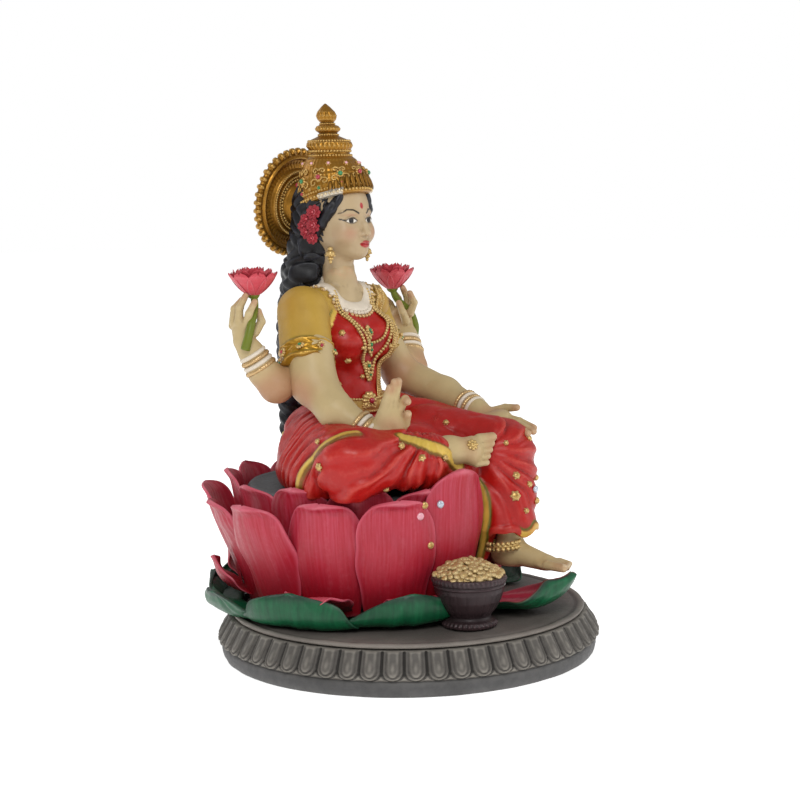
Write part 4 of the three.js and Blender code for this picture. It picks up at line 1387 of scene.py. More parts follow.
def head_shape(p):
    q = p.copy()
    q[:, 0] = np.abs(q[:, 0])
    f = grow(  # skull, jaw, chin and cheeks
        q,
        blob(q, (0, 28.2, 142), (10.5, 11.8, 12.2)),
        (3, (0, 24.0, 135.2), (8.3, 8.2, 8.6)),
        (3.2, (0, 18.8, 129.0), (3.4, 3.4, 2.8)),
        (2.5, (4.7, 19.6, 134.8), (3.5, 3.0, 3.3)),
    )
    f = carve(f, blob(q, (4.3, 15.2, 139.1), (3.2, 1.9, 1.9)), 1.6)
    brow = (1.2, (1.9, 17.1, 141.3), (6.6, 18.9, 141.5), 0.8, 0.5)
    f = grow(q, f, brow, (0.3, (4.15, 18.9, 138.9), (2.25, 1.7, 1.35)))
    lid = near_path(q, [(2.0, 17.5, 138.7), (3.2, 16.95, 139.9), (4.6, 17.0, 140.1),
                        (6.2, 18.0, 139.2)])[0] - 0.26
    under = near_path(q, [(2.0, 17.5, 138.7), (3.4, 17.2, 137.9), (4.8, 17.3, 137.8),
                          (6.2, 18.0, 139.0)])[0] - 0.18
    f = melt(f, np.minimum(lid, under), 0.3)
    nose = limb(q, [((0, 17.2, 140.4), 0.85), ((0, 15.5, 137.4), 1.0), ((0, 14.4, 135.0), 1.3)], 0.8)
    f = melt(f, grow(q, nose, (0.6, (1.25, 15.6, 134.5), (0.85, 1.15, 0.8))), 0.9)
    f = carve(f, blob(q, (0.75, 14.9, 133.7), (0.35, 0.5, 0.35)), 0.25)
    f = grow(  # mouth and lips
        q,
        f,
        (1.2, (0, 16.8, 131.4), (3.2, 1.6, 2.2)),
        (0.35, (0.75, 15.45, 131.85), (1.5, 0.75, 0.5)),
        (0.4, (0, 15.6, 130.65), (1.75, 0.85, 0.62)),
    )
    f = carve(f, bone(q, (0, 14.75, 131.28), (2.2, 15.5, 131.3), 0.2, 0.12), 0.25)
    ear, neck = (0.8, (10.3, 28.6, 136.8), (1.2, 2.2, 3.4)), (2.4, (0, 27.6, 113), (0, 27.2, 128), 5.2, 5.1)
    return grow(q, f, ear, neck)


def head_paint(v, n):
    x, y, z = np.abs(v[:, 0]), v[:, 1], v[:, 2]
    front = y < 22
    wide = (x - 4.15) / 2.2
    upper = 138.75 + 0.95 * np.clip(1 - wide**2, 0, 1)
    lower = 138.75 - 0.75 * np.clip(1 - wide**2, 0, 1)
    eye = ramp(1 - np.abs(wide), 0, 0.12) * ramp(upper - z, 0, 0.15) * ramp(z - lower, 0, 0.15) * front
    iris = ramp(1.12 - np.hypot(x - 4.25, z - 138.9), 0, 0.2) * eye
    line = bump(z - upper, 0.1, 0.3) * ramp(1.12 - np.abs(wide), 0, 0.1)
    line = np.maximum(line, 0.7 * bump(z - lower, -0.05, 0.2) * ramp(1.05 - np.abs(wide), 0, 0.1))
    wing, _ = near_path(np.stack([x, z], 1), [(6.2, 138.9), (7.4, 139.4)])
    brow, s = near_path(np.stack([x, z], 1), [(1.9, 141.2), (3.6, 142.3), (5.6, 142.4), (7.6, 141.2)])
    dark = np.maximum(np.maximum(iris, line), np.maximum(ramp(0.3 - wing, 0, 0.15),
                                                         ramp(0.42 - 0.2 * s - brow, 0, 0.18)))
    lips = ((x / 2.35) ** 2 + ((z - 131.25) / 1.25) ** 2) ** 0.5
    shape = ramp(1 - lips, 0, 0.15) * (y < 17.4)
    mark = ramp(0.85 - np.hypot(x, (z - 143.6) * 0.75), 0, 0.2) * (y < 19)
    # Blush on the cheeks; the neck is also reddened more toward the bottom, under the chin, and a band above each eye.
    blush = 0.4 * bump(np.hypot(x - 5.6, (z - 134.8) * 1.1), 0, 2.6) * front + 0.25 * ramp(124 - z, 0, 6)
    blush = np.maximum(blush, 0.35 * bump(z, 140.7, 0.5) * bump(x, 4.3, 2.2) * front)
    return {"dark": np.clip(dark, 0, 1) * front, "white": eye * (1 - iris), "lip": np.clip(shape + mark, 0, 1),
            "blush": blush}


def hair_shape(p):
    q = p.copy()
    q[:, 0] = np.abs(q[:, 0])
    x, y, z = p[:, 0], p[:, 1], p[:, 2]
    f = grow(
        q,
        blob(q, (0, 30.8, 142), (11.4, 10.8, 12.2)),
        (2.5, (0, 35.6, 131), (10.4, 7.8, 9.6)),
        (2.0, (4.6, 38.2, 120.5), (6.4, 6.6, 9.0)),
        (2.0, (0, 41, 120), (0, 45, 106), 7.0, 5.6),
    )
    warp = noise3(p, 5, 61) * 1.2
    turn = np.arctan2(x, y - 22)
    waves = crease(turn * 11 + 1.4 * np.sin(z * 0.42) + warp, 1.2)
    f = f - 1.25 * waves - 0.4 * np.cos(turn * 40 + 5 * np.sin(z * 0.3) + warp * 3)
    face = blob(q, (0, 12.5, 135), (10.6, 11.6, 14.2))
    f = carve(f, face, 0.6)
    lock = limb(q, [((6.6, 19.9, 146.4), 1.2), ((9.0, 22.2, 142.6), 1.9), ((10.0, 24.8, 138.4), 1.7),
                    ((10.4, 27, 134.6), 0.8)], 0.8)
    return melt(f, lock - 0.15 * np.cos(z * 1.1 + y * 3.4 + 2 * np.sin(z * 0.8)), 0.6)


# ------------------------------------------------------------------ small ornaments


def beads(path, size, gap=1.9):
    """Round beads set along a path."""
    spots = even_steps(np.array(path, float), lambda length: max(2, int(length / (size * gap))))
    return [ball(s, size, rows=6, cols=9) for s in spots]


def gem(spot, n, radii, rows=6, cols=10):
    """A rounded stone lying on a surface that faces along n."""
    return ball(spot, radii, frame_at(n), rows, cols)


def rosette(centre, n, size, petals=6, height=0.35):
    """A small flower-shaped stud."""
    turn = frame_at(n)
    parts = [ball(centre, (size * 0.42, size * 0.42, size * height * 1.5), turn, 6, 10)]
    for k in range(petals):
        a = TAU * k / petals
        offset = turn @ np.array([math.cos(a), math.sin(a), 0]) * size * 0.62
        spin = turn @ np.array([[math.cos(a), -math.sin(a), 0], [math.sin(a), math.cos(a), 0], [0, 0, 1]])
        parts.append(ball(centre + offset, (size * 0.42, size * 0.3, size * height), spin, 6, 10))
    return parts


def ring_path(centre, axis, radius, count=72):
    turn = frame_at(axis)
    t = np.arange(count) * TAU / count
    flat = np.stack([np.cos(t) * radius, np.sin(t) * radius, 0 * t], 1)
    return flat @ turn.T + np.array(centre, float)


def whole(name, parts, material, node, slot, masks=None, relief=1, gain=1.0):
    """One piece made of many small parts."""
    v, f, owner = merge(parts)
    return build(name, v, f, material, node, slot, masks(v, owner) if masks else None, relief, gain)


def set_on(fn, spots, lift):
    """Points moved onto a shape, with the way the surface faces there."""
    p = settle(fn, spots, lift)
    return p, slope(fn, p)[1]


# ------------------------------------------------------------------ the figure


def make_cloth():
    sculpt("skirt", skirt_shape, "skirt", "sari", SARI, 0.55, 3.2, skirt_paint, 4)
    sculpt("shin_drape", drape_shape, "shin_drape", "sari", SARI, 0.38, 9.0, drape_paint, 4)
    sculpt("torso", torso_shape, "torso", "sari", SARI, 0.5, 3.0, torso_paint, 4)
    for side, name in ((-1, "right"), (1, "left")):
        sculpt(f"sleeve_{name}", sleeve_shape(side), f"sleeve_{name}", "blouse", BLOUSE, 0.32, 3.5,
               sleeve_paint(side), 3)
        a, b = (np.array(c) for c in sleeve_axis(side))
        middle = a + (b - a) * 0.85
        studs, stones = [], {"ruby": [], "emerald": []}
        axis = unit(b - a)
        for k in range(8):
            turn = TAU * k / 8 + 0.35
            ray = unit(np.cross(axis, [0, 0, 1.0]))
            ray = ray * math.cos(turn) + np.cross(axis, ray) * math.sin(turn)
            spot, n = set_on(sleeve_shape(side), [middle + ray * 8.6], 0.1)
            studs += rosette(spot[0], n[0], 1.5, 8, 0.4)
            stones["ruby" if k % 2 else "emerald"].append(gem(spot[0] + n[0] * 0.5, n[0], (0.62, 0.62, 0.5)))
        whole(f"sleeve_{name}_studs", studs, GOLD, f"sleeve_{name}", "gold")
        whole(f"sleeve_{name}_rubies", stones["ruby"], RUBY, f"sleeve_{name}", "flower")
        whole(f"sleeve_{name}_emeralds", stones["emerald"], EMERALD, f"sleeve_{name}", "leaf")


def make_limbs():
    for name, arm in ARMS.items():
        shape = arm_shape(arm["stations"], arm["palm"], arm["digits"])
        sculpt(name, shape, name, "skin", SKIN, 0.32, 9.0, arm_paint(arm["palm"], arm["elbow"], arm["digits"]),
               4)
    sculpt("left_foot", left_foot_shape, "left_foot", "skin", SKIN, 0.3, 3.0, left_foot_paint, 4)
    sculpt("right_foot", right_foot_shape, "right_foot", "skin", SKIN, 0.3, 6.0, right_foot_paint, 4)


BRAID_STEPS, BRAID_SIDES, BRAID_TIE = 240, 30, 224


def make_head():
    low, high = corner("head", 0) - [3, 4, 9], corner("head", 1) + 1.5
    sculpt("head", head_shape, "head", "skin", FACE, 0.24, paint=head_paint, relief=5, box=(low, high))
    low, high = corner("hair", 0) - [2, 5, 18], corner("hair", 1) + [2, 8, 1]
    sculpt("hair", hair_shape, "hair", "hair", HAIR, 0.38, relief=3, box=(low, high))
    path = smooth_path([(0, 41, 124), (-0.6, 44, 116), (-1, 46.2, 106), (-1, 47.6, 93), (-0.5, 49, 78),
                        (0, 50.2, 65),
                        (0, 50.6, 57.4)], BRAID_STEPS)
    t = np.linspace(0, 1, BRAID_STEPS)
    size = np.interp(t, [0, 0.15, 0.6, 0.9, 0.96, 1], [6.6, 6.2, 4.8, 3.6, 3.0, 0.5])
    strands = []
    for k in range(3):
        phase = t * TAU * 5.2 + k * TAU / 3
        centre = path + np.stack([np.sin(phase) * size * 0.52, np.sin(2 * phase) * size * 0.26, 0 * t], 1)
        v, f = tube(centre, size * 0.62, BRAID_SIDES)
        ang = np.tile(np.arange(BRAID_SIDES) * TAU / BRAID_SIDES, BRAID_STEPS)
        inner = v[:-2] - np.repeat(centre, BRAID_SIDES, 0)
        v[:-2] += inner * (0.07 * np.cos(ang * 7 + np.repeat(t, BRAID_SIDES) * 60))[:, None]
        strands.append((v, f))
    whole("braid", strands, HAIR, "braid", "hair", relief=2, gain=1.3)
    tie = ring_path(path[BRAID_TIE], path[BRAID_TIE + 2] - path[BRAID_TIE - 2], size[BRAID_TIE])
    whole("braid_ties", [tube(tie, 0.7, 8, closed=True)], GOLD, "braid", "gold")


CROWN_PROFILE = [(11.0, 145.2), (11.8, 145.6), (12.0, 146.6), (11.6, 147.6), (11.5, 150), (11.0, 153),
                 (9.9, 156.2),
                 (8.2, 158.6), (6.9, 159.8), (6.4, 160.4), (6.4, 161.2), (7.0, 162.0), (7.5, 163.0),
                 (7.3, 164.2),
                 (5.8, 165.2), (4.4, 165.8), (3.2, 166.4), (3.0, 167.2), (3.9, 168.0), (4.1, 168.7),
                 (3.6, 169.5),
                 (2.4, 170.0), (2.2, 170.6), (3.0, 171.6), (3.3, 172.8), (2.8, 174.2), (1.6, 175.6),
                 (0.5, 176.6),
                 (0, 176.9)]


CROWN_BEADS = [(146.4, 0.55, 58), (148.1, 0.4, 74), (159.9, 0.42, 44), (161.4, 0.5, 40), (164.6, 0.42, 46),
               (166.6, 0.36, 26), (170.2, 0.32, 22)]  # height, bead size and count of each ring
RIM_SLOPE, RIM_PIVOT = 0.27, 27.0  # the rim drops backward, turning about this depth


def crown_axis(z):
    """The crown leans back a little as it rises."""
    return 28.3 + 0.11 * (z - 149)


def dip(v):
    """The rim is high over the brow and low behind; the spire stays upright."""
    v = np.array(v, float)
    v[..., 2] -= RIM_SLOPE * (v[..., 1] - RIM_PIVOT) * ramp(158.5 - v[..., 2], 0, 9)
    return v


def crown_point(turn, z, lift=0.0):
    """A point on the crown and the way it faces; turn is measured from the front toward the left side."""
    rs, zs = np.array(CROWN_PROFILE).T
    r = np.interp(z, zs, rs)
    lean = (np.interp(z + 0.2, zs, rs) - np.interp(z - 0.2, zs, rs)) / 0.4
    n = unit([math.sin(turn), -math.cos(turn), -lean])
    base = np.array([r * math.sin(turn), crown_axis(z) - r * math.cos(turn), z])
    return dip(base + n * lift), n


def make_crown():
    def ribs(r, z, t):
        band = 0.18 * np.cos(t * 30) * bump(z, 163.1, 0.9) + 0.14 * np.cos(t * 22) * bump(z, 168.5, 0.6)
        flute = 0.12 * np.cos(t * 16) * bump(z, 173, 1.4)
        lattice = 0.1 * np.sin(t * 24 + z * 1.7) * np.sin(t * 24 - z * 1.7) * (z < 159) * (z > 148)
        return r + (band + flute + lattice) * (r > 1), z

    line = fine_profile([(0, 145.2), *CROWN_PROFILE], 0.3)
    v, f = turned(line, 260, ribs)
    v[:, 1] += crown_axis(v[:, 2])
    parts = [(dip(v), f)]
    for z, size, count in CROWN_BEADS:
        for k in range(count):
            spot, _ = crown_point(TAU * k / count, z, 0.05)
            parts.append(ball(spot, size, rows=6, cols=8))
    for k in range(10):
        turn0 = TAU * k / 10
        for hand in (-1, 1):
            for big, z0 in ((1.0, 150.6), (0.72, 154.4)):
                s = np.linspace(0, 1, 26)
                spin = s * 2.3 * math.pi
                reach = (1 - s * 0.85) * 1.55 * big
                arc = hand * (1.75 * big + reach * np.cos(spin + math.pi))
                rise = z0 + reach * np.sin(spin) * 0.95 + 0.35
                pts = [crown_point(turn0 + a / 11.0, z, 0.22)[0] for a, z in zip(arc, rise)]
                parts.append(tube(pts, 0.32 - 0.12 * s, 7))
        for z, size in ((157.2, 0.75), (149.4, 0.5)):
            spot, n = crown_point(turn0 + TAU / 20, z, 0.1)
            parts += rosette(spot, n, size * 1.3, 6, 0.4)
        for z, size, petals in ((152.6, 1.5, 8), (148.9, 1.0, 6)):
            spot, n = crown_point(turn0, z, 0.1)
            parts += rosette(spot, n, size, petals, 0.4)
    for k in range(13):
        turn = -0.95 + 1.9 * k / 12
        rise = 1.9 * math.cos(turn * 1.5) + 0.6
        spot, n = crown_point(turn, 147.4, 0.3)
        leaf, g = ball((0, 0, 0), (0.8, 0.45, 1.5 + rise * 0.5), rows=8, cols=10)
        parts.append((leaf @ frame_at(n)[:, [0, 2, 1]].T + spot + [0, 0, 0.5 + rise * 0.5], g))

    def silver(v, owner):
        turn = np.arctan2(v[:, 0], -(v[:, 1] - 28.2))
        level = v[:, 2] + RIM_SLOPE * (v[:, 1] - RIM_PIVOT)
        return {"silver": (level < 147.2) * (level > 145.0) * (np.abs(np.abs(turn) - 0.95) < 0.35) * 0.9}

    whole("crown", parts, OLD_GOLD, "crown", "old_gold", silver, 1, 1.0)
    rubies, emeralds, roses = [], [], []
    for k in range(10):
        spot, n = crown_point(TAU * k / 10, 152.6, 0.75)
        (emeralds if k % 2 else rubies).append(gem(spot, n, (0.8, 0.8, 0.6)))
        spot, n = crown_point(TAU * k / 10, 148.9, 0.55)
        (rubies if k % 2 else emeralds).append(gem(spot, n, (0.55, 0.55, 0.45)))
        spot, n = crown_point(TAU * (k + 0.5) / 10, 157.2, 0.5)
        roses.append(gem(spot, n, (0.5, 0.5, 0.4)))
    whole("crown_rubies", rubies, RUBY, "crown", "flower")
    whole("crown_emeralds", emeralds, EMERALD, "crown", "leaf")
    whole("crown_rose_stones", roses, ROSE_STONE, "crown", "flower")


HALO_CENTRE, HALO_LEAN = (0, 46.8, 145), 9


def make_halo():
    outline = fine_profile([(0, -1.4), (14, -1.5), (16.4, -1.3), (17.6, -0.7), (17.9, 0.1), (17.5, 0.9),
                            (16.8, 1.3),
                            (16.2, 1.2), (15.7, 1.0), (15.3, 1.5), (14.9, 1.8), (14.5, 1.5), (14.2, 0.8),
                            (13.0, 0.3),
                            (11.4, 0.8), (10.9, 1.9), (10.2, 2.4), (9.4, 2.2), (8.6, 2.6), (8.0, 2.4),
                            (7.0, 3.2),
                            (6.2, 5.4), (5.8, 7.0), (0, 7.2)], 0.25)

    def pierced(r, z, t):
        lobes = 0.7 * (ramp(np.cos(t * 40), -0.5, 0.5) - 0.6) * ramp(r, 16.2, 17.2)
        rays = 0.07 * np.cos(t * 60) * bump(r, 12.8, 1.6) * (z > 0)
        back_rays = 0.22 * np.cos(t * 24) * bump(r, 9.5, 5) * (z < -1)
        notch = 0.35 * np.cos(t * 40) * bump(r, 16.9, 0.8)
        return r + lobes, z + rays - back_rays + notch * np.sign(z)

    v, f = turned(outline, 480, pierced)
    parts = [(v, f)]
    for radius, size, count, lift in ((10.6, 0.42, 84, 2.4), (9.0, 0.36, 72, 2.7), (8.0, 0.5, 44, 2.7)):
        for k in range(count):
            t = TAU * (k + 0.5) / count
            parts.append(ball((radius * math.sin(t), -radius * math.cos(t), lift), size, rows=6, cols=8))
    v, f, _ = merge(parts)
    lean = math.radians(HALO_LEAN)
    n = np.array([0, -math.cos(lean), -math.sin(lean)])
    turn = np.stack([[1, 0, 0], np.cross(n, [1, 0, 0]), n], 1)
    v = v @ turn.T + HALO_CENTRE
    build("halo", v, f, OLD_GOLD, "halo", "old_gold", {"silver": np.zeros(len(v))}, 1, 1.0)


def small_flower(centre, n, size, seed):
    """A tight many-petalled bloom."""
    rng = np.random.default_rng(seed)
    turn = frame_at(n)
    parts = [ball(centre, size * 0.5, rows=8, cols=12)]
    for ring, (count, tilt, reach) in enumerate(((9, 0.25, 0.62), (7, 0.7, 0.42), (5, 1.1, 0.22))):
        for k in range(count):
            a = TAU * (k + 0.5 * ring) / count + rng.uniform(-0.1, 0.1)
            out = np.array([math.cos(a), math.sin(a), 0])
            up = out * math.sin(tilt) * -1 + np.array([0, 0, 1]) * math.cos(tilt)
            basis = np.stack([np.cross(up, out), out * math.cos(tilt) + np.array([0, 0, math.sin(tilt)]), up],
                             1)
            spot = turn @ (out * reach * size + np.array([0, 0, 0.22 * ring * size]))
            parts.append(ball(centre + spot, (size * 0.34, size * 0.42, size * 0.12), turn @ basis, 8, 12))
    return parts


EAR_FLOWERS = [(26.6, 141.8, 2.5), (29.6, 139.6, 2.5), (26.8, 137.6, 2.6), (29.8, 135.4, 2.4),
               (27.4, 133.4, 2.0),
               (31.8, 137.4, 2.0)]  # depth, height and size
HAND_LOTUS_RINGS = [(8, 7.8, 1.6, 3.1), (7, 6.2, 2.6, 2.8), (5, 3.4, 3.2, 2.3)]  # petals, reach, rise, half width


def make_flowers():
    for side, name in ((-1, "right"), (1, "left")):
        parts = []
        for k, (y, z, s) in enumerate(EAR_FLOWERS):
            parts += small_flower(np.array([side * (12.0 - 0.12 * abs(y - 27)), y, z]), (side, -0.35, 0.1), s,
                                  70 + k)
        whole(f"ear_flower_{name}", parts, FLOWER, f"ear_flower_{name}", "flower",
              lambda v, o: {"gold": 0 * v[:, 0]}, 2, 1.3)
        x, y, z = side * 9.0, 22.4, 130.0
        parts = [ball((x, y, z), (0.9, 0.9, 0.7)), ball((x, y, z - 1.6), (1.5, 1.5, 1.3), rows=10, cols=16),
                 ball((x, y, z - 3.2), (1.1, 1.1, 0.6)), ball((x, y, z - 4.1), (0.55, 0.55, 0.8))]
        for k in range(9):
            a = TAU * k / 9
            parts.append(ball((x + 1.45 * math.cos(a), y + 1.45 * math.sin(a), z - 2.2), 0.3, rows=5, cols=7))
        whole(f"earring_{name}", parts, GOLD, f"earring_{name}", "gold")
    rows, sides = 18, 20
    for name, side, x, y in (("right", -1, -37.0, 30.0), ("left", 1, 34.0, 33.0)):
        centre = np.array([x, y, corner(f"hand_lotus_{name}", 1)[2] - 2.9])
        parts = []
        for ring, (count, spread_out, rise, wide) in enumerate(HAND_LOTUS_RINGS):
            for k in range(count):
                a = TAU * (k + 0.5 * (ring % 2)) / count + 0.2
                s = np.linspace(0, 1, rows)[:, None]
                th = np.arange(sides)[None] * TAU / sides
                half = wide * (0.3 + 0.75 * np.sin(np.pi * 0.62 * s)) * np.sqrt(1 - 0.985 * s**8)
                u = np.cos(th)
                reach = spread_out * (0.1 + 0.9 * s**1.1) + 0.2 * np.sin(th) * (1 - s * 0.5)
                height = -4.6 + (4.9 + rise) * s**1.6 + 0.9 * u**2 * s + 0.45 * np.sin(th) * (1 - 0.6 * s)
                to_left = reach * math.cos(a) - u * half * math.sin(a)
                to_back = reach * math.sin(a) + u * half * math.cos(a)
                v = np.stack([to_left, to_back, height], -1).reshape(-1, 3) + centre
                parts.append((v, grid_faces(rows, sides, wrap_cols=True)))
        parts.append(ball(centre + [0, 0, 0.2], (2.2, 2.2, 1.6), rows=8, cols=14))
        stem = smooth_path([centre + [0, 0, -4], centre + [side * 0.8, -1.2, -8],
                            centre + [side * 4.8, -3.6, -12.5],
                            centre + [side * 7.0, -4.0, -17.5], centre + [side * 7.6, -3.2, -21]], 40)
        stalk = [tube(stem, np.linspace(1.1, 1.5, 40), 12),
                 ball(centre + [0, 0, -4.4], (2.0, 2.0, 1.5), rows=8, cols=14)]
        whole(f"hand_lotus_stem_{name}", stalk, STEM, f"hand_lotus_{name}", "leaf")
        whole(f"hand_lotus_{name}", parts, FLOWER, f"hand_lotus_{name}", "flower",
              lambda v, o: {"gold": (o == o.max()) * 1.0}, 1, 1.6)


ANKLET_AXIS = (0, 0.1, 1)


def make_bangles():
    for name in ("front_right", "front_left", "rear_right", "rear_left"):
        (a, wide), (b, narrow) = ARMS[f"{name}_arm"]["stations"][2:4]
        a, b = np.array(a), np.array(b)
        axis = unit(b - a)
        length = np.linalg.norm(b - a)
        parts, kinds = [], []
        for k in range(4):
            spot = b - axis * (0.6 + 1.6 * k)
            share = np.linalg.norm(spot - a) / length
            radius = wide + (narrow - wide) * share + 0.25
            path = ring_path(spot, axis, radius, 90)
            size = 0.72 + (0.1 * np.cos(np.arange(90) * TAU / 90 * 30) if k % 2 else 0)
            parts.append(tube(path, size, 10, closed=True))
            kinds.append(k % 2)
        kinds = np.array(kinds)
        whole(f"bangles_{name}", parts, CREAM, f"bangles_{name}", "cream",
              lambda v, o, kinds=kinds: {"gold": kinds[o] * 1.0}, 1, 1.4)
    parts = []
    for drop, radius in ((0.7, 5.0), (-1.0, 5.1)):
        centre = at("anklet") + [0, 0, drop]
        loop = ring_path(centre, ANKLET_AXIS, radius)
        parts += beads(np.vstack([loop, loop[:1]]), 0.78)
    parts.append(tube(ring_path(at("anklet"), ANKLET_AXIS, 4.7), 0.6, 8, closed=True))
    whole("anklet", parts, GOLD, "anklet", "gold")


BUCKLE = (-2.0, 12.4, 80.6)


def make_jewels():
    def on_chest(points, lift=0.3, count=120):
        return settle(torso_base, smooth_path(points, count), lift + 0.35)

    loop = settle(torso_base, ring_path((0, 25.2, 115.4), (0, -0.55, 1), 8.4, 120), 0.3)
    n = slope(torso_base, loop)[1]
    parts, kinds = [tube(loop, 1.9, 12, closed=True, flat=0.4, up=n)], [0]
    out = loop - [0, 25.2, 118]
    out[:, 2] = -np.abs(out[:, 2]) - 3
    out /= np.linalg.norm(out, axis=1)[:, None]
    for k in range(0, 120, 3):
        spots = settle(torso_base, [loop[k] + out[k] * 2.3, loop[k] + out[k] * 3.5], 0.3)
        for kind, (spot, size) in enumerate(zip(spots, (0.75, 0.68))):
            parts.append(ball(spot, size, rows=6, cols=9))
            kinds.append(kind)
    kinds = np.array(kinds)
    whole("collar_necklace", parts, CREAM, "collar_necklace", "cream", lambda v, o: {"gold": kinds[o] * 1.0}, 1,
          1.2)

    chain = on_chest([(-8.2, 22, 116), (-8, 12, 109), (-4.4, 9, 103.4), (-0.4, 9, 98.6), (4.4, 9, 103.4),
                      (8, 12, 109),
                      (8.2, 22, 116)], 0.45)
    long_chain = on_chest([(-9.6, 22, 114), (-8.6, 11, 106), (-4.6, 10, 96), (-0.8, 12, 87), (3.6, 10, 96),
                           (8.6, 11, 106),
                           (9.6, 22, 114)], 0.45)
    parts = beads(chain, 0.55, gap=1.8) + beads(long_chain, 0.6, gap=1.8)
    stones = []
    for z, size in ((107.4, 1.7), (103.6, 1.5), (99.6, 2.1), (95.4, 1.5), (91.6, 1.8), (88.4, 1.2)):
        spot, n = set_on(torso_shape, [(-0.4, 8, z)], 0.5)
        parts += rosette(spot[0], n[0], size, 8, 0.4)
        parts.append(ball(spot[0] + n[0] * 0.3 - [0, 0, size * 1.15], (0.5, 0.5, 0.7), rows=6, cols=8))
        stones.append(gem(spot[0] + n[0] * size * 0.45, n[0], (size * 0.34, size * 0.34, size * 0.3)))
    whole("bead_chain", parts, GOLD, "bead_chain", "gold")
    whole("bead_chain_stones", stones, EMERALD, "bead_chain", "leaf")

    edge = on_chest([(15, 24, 117), (12.6, 14, 110), (10.4, 9, 102), (9.0, 12, 93), (7.0, 13.6, 86),
                     (5, 14, 81)], 0.25, 100)
    n = slope(torso_base, edge)[1]
    parts = [tube(edge, 1.7, 12, flat=0.35, up=n)]
    side = np.cross(np.gradient(edge, axis=0), n)
    side /= np.linalg.norm(side, axis=1)[:, None]
    for offset in (-1.35, 1.35):
        parts += beads(edge + side * offset + n * 0.35, 0.42)
    for k in range(6, 96, 11):
        parts += rosette(edge[k] + n[k] * 0.55, n[k], 0.9, 6, 0.4)
    whole("sash", parts, GOLD, "sash", "gold")

    belt_line = settle(torso_base, ring_path((0, 25.4, 80.6), (0, -0.12, 1), 13, 140), 0.5)
    belt_line = np.vstack([belt_line, belt_line[:1]])
    n = slope(torso_base, belt_line)[1]
    parts = [tube(belt_line[:-1], 2.3, 12, closed=True, flat=0.3, up=n[:-1])]
    for lift in (2.0, -2.0):
        parts += beads(belt_line + [0, 0, lift] + n * 0.3, 0.5)
    for k in range(0, 140, 7):
        parts += rosette(belt_line[k] + n[k] * 0.6, n[k], 1.25, 8, 0.45)
    spot, bn = set_on(torso_shape, [BUCKLE], 0.9)
    parts += rosette(spot[0], bn[0], 3.0, 10, 0.35) + rosette(spot[0] + bn[0] * 0.7, bn[0], 1.6, 8, 0.4)
    whole("belt", parts, GOLD, "belt", "gold")
    whole("belt_ruby", [gem(spot[0] + bn[0] * 1.4, bn[0], (1.0, 1.0, 0.8), 8, 12)], RUBY, "belt", "flower")


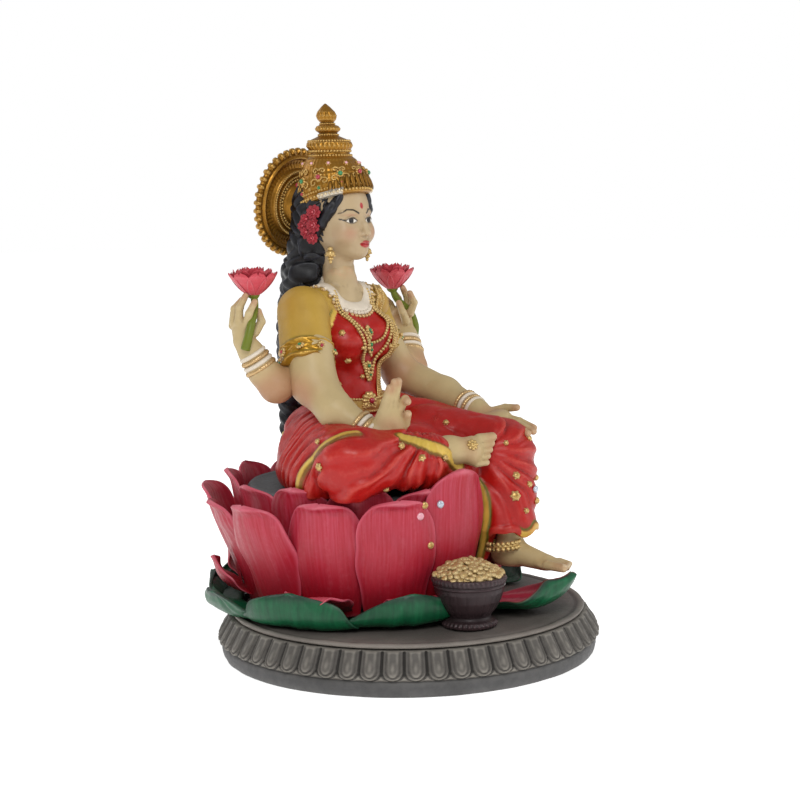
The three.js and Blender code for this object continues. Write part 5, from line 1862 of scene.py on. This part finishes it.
def make_studs():
    """Gilt flowers and odd stones on the cloth, and on the right foot."""
    groups = {
        "skirt": (skirt_shape, [((-44, -6, 66), 1.7), ((-26, -20, 71), 1.5), ((-21, -23, 67), 1.6),
                                ((-12, -25, 66), 1.2),
                                ((-44, 2, 74), 1.2), ((6, -12, 76), 1.3), ((22, -30, 66), 1.3),
                                ((27, -24, 60), 1.2),
                                ((12, -32, 68), 1.1), ((-30, -16, 60), 1.2), ((-20, 34, 70), 1.4),
                                ((0, 40, 66), 1.4),
                                ((20, 34, 70), 1.4), ((24, 4, 72), 1.3), ((28, 14, 66), 1.3),
                                ((-20, 10, 78), 1.3)]),
        "shin_drape": (drape_shape, [((11, -36, 58), 1.6), ((11, -36, 52), 2.1), ((17, -38, 55), 1.3),
                                     ((21, -37, 49), 1.5),
                                     ((24, -34, 56), 1.3), ((26, -26, 50), 1.4), ((14, -38, 47), 1.2),
                                     ((25, -20, 57), 1.3)]),
        "torso": (torso_shape, [((-13.4, 14, 104), 1.4), ((-11, 14, 92), 1.4), ((-6, 9, 97), 1.0),
                                ((-14, 18, 97), 1.0),
                                ((8, 9, 97), 1.2), ((12, 14, 90), 1.2), ((-4, 12, 88), 1.0),
                                ((-14, 16, 86), 1.1)]),
    }
    for node, (shape, spots) in groups.items():
        places, n = set_on(shape, [s for s, _ in spots], 0.1)
        parts = []
        for place, way, (_, size) in zip(places, n, spots):
            parts += rosette(place, way, size * 0.85, 6, 0.3)
            parts.append(gem(place + way * 0.2, way, (size * 0.72, size * 0.72, 0.75), 8, 14))
        whole(f"{node}_studs", parts, GOLD, node, "gold")
    place, n = set_on(right_foot_shape, [(-0.4, -28, 69.2)], 0.1)
    parts = rosette(place[0], n[0], 1.9, 8, 0.3) + [gem(place[0] + n[0] * 0.3, n[0], (0.9, 0.9, 0.7), 8, 12)]
    whole("toe_ornament", parts, GOLD, "right_foot", "gold")
    place, n = set_on(drape_shape, [(20, -38, 53)], 0.5)
    whole("shin_stone", [gem(place[0], n[0], (1.2, 1.2, 0.8), 7, 14)], CRYSTAL, "shin_drape", "plate")


def make_petal_studs():
    """Four small studs on the two petals beside the pot."""
    for name, petal, angle, height, size, paint, slot in (
        ("petal_stud_silver", 12, 341.0, 52.0, 1.25, CRYSTAL, "plate"),
        ("petal_stud_rose", 11, 331.0, 50.0, 1.2, ROSE_STONE, "flower"),
        ("petal_stud_gilt", 11, 334.0, 53.4, 1.15, GOLD, "gold"),
        ("petal_stud_gilt_low", 11, 335.5, 40.0, 1.15, GOLD, "gold"),
    ):
        v = PETAL_SHAPES[petal]
        turn = np.degrees(np.arctan2(v[:, 0], LOTUS_Y - v[:, 1])) % 360
        reach = np.hypot(v[:, 0], v[:, 1] - LOTUS_Y)
        off = np.hypot((turn - angle) * 0.85, v[:, 2] - height)
        spot = v[np.argmin(off - 0.5 * reach)]
        heading = math.radians(angle)
        way = np.array([math.sin(heading), -math.cos(heading), 0.0])
        parts = [gem(spot + way * 0.1, way, (size, size, 0.7), 8, 14)]
        parts += rosette(spot, way, size, 7, 0.2)
        whole(name, parts, paint, f"outer_petal_{petal}", slot)


make_cloth()
make_studs()
make_petal_studs()
make_limbs()
make_head()
make_crown()
make_halo()
make_flowers()
make_bangles()
make_jewels()

# ------------------------------------------------------------------ final update

bpy.context.view_layer.update()
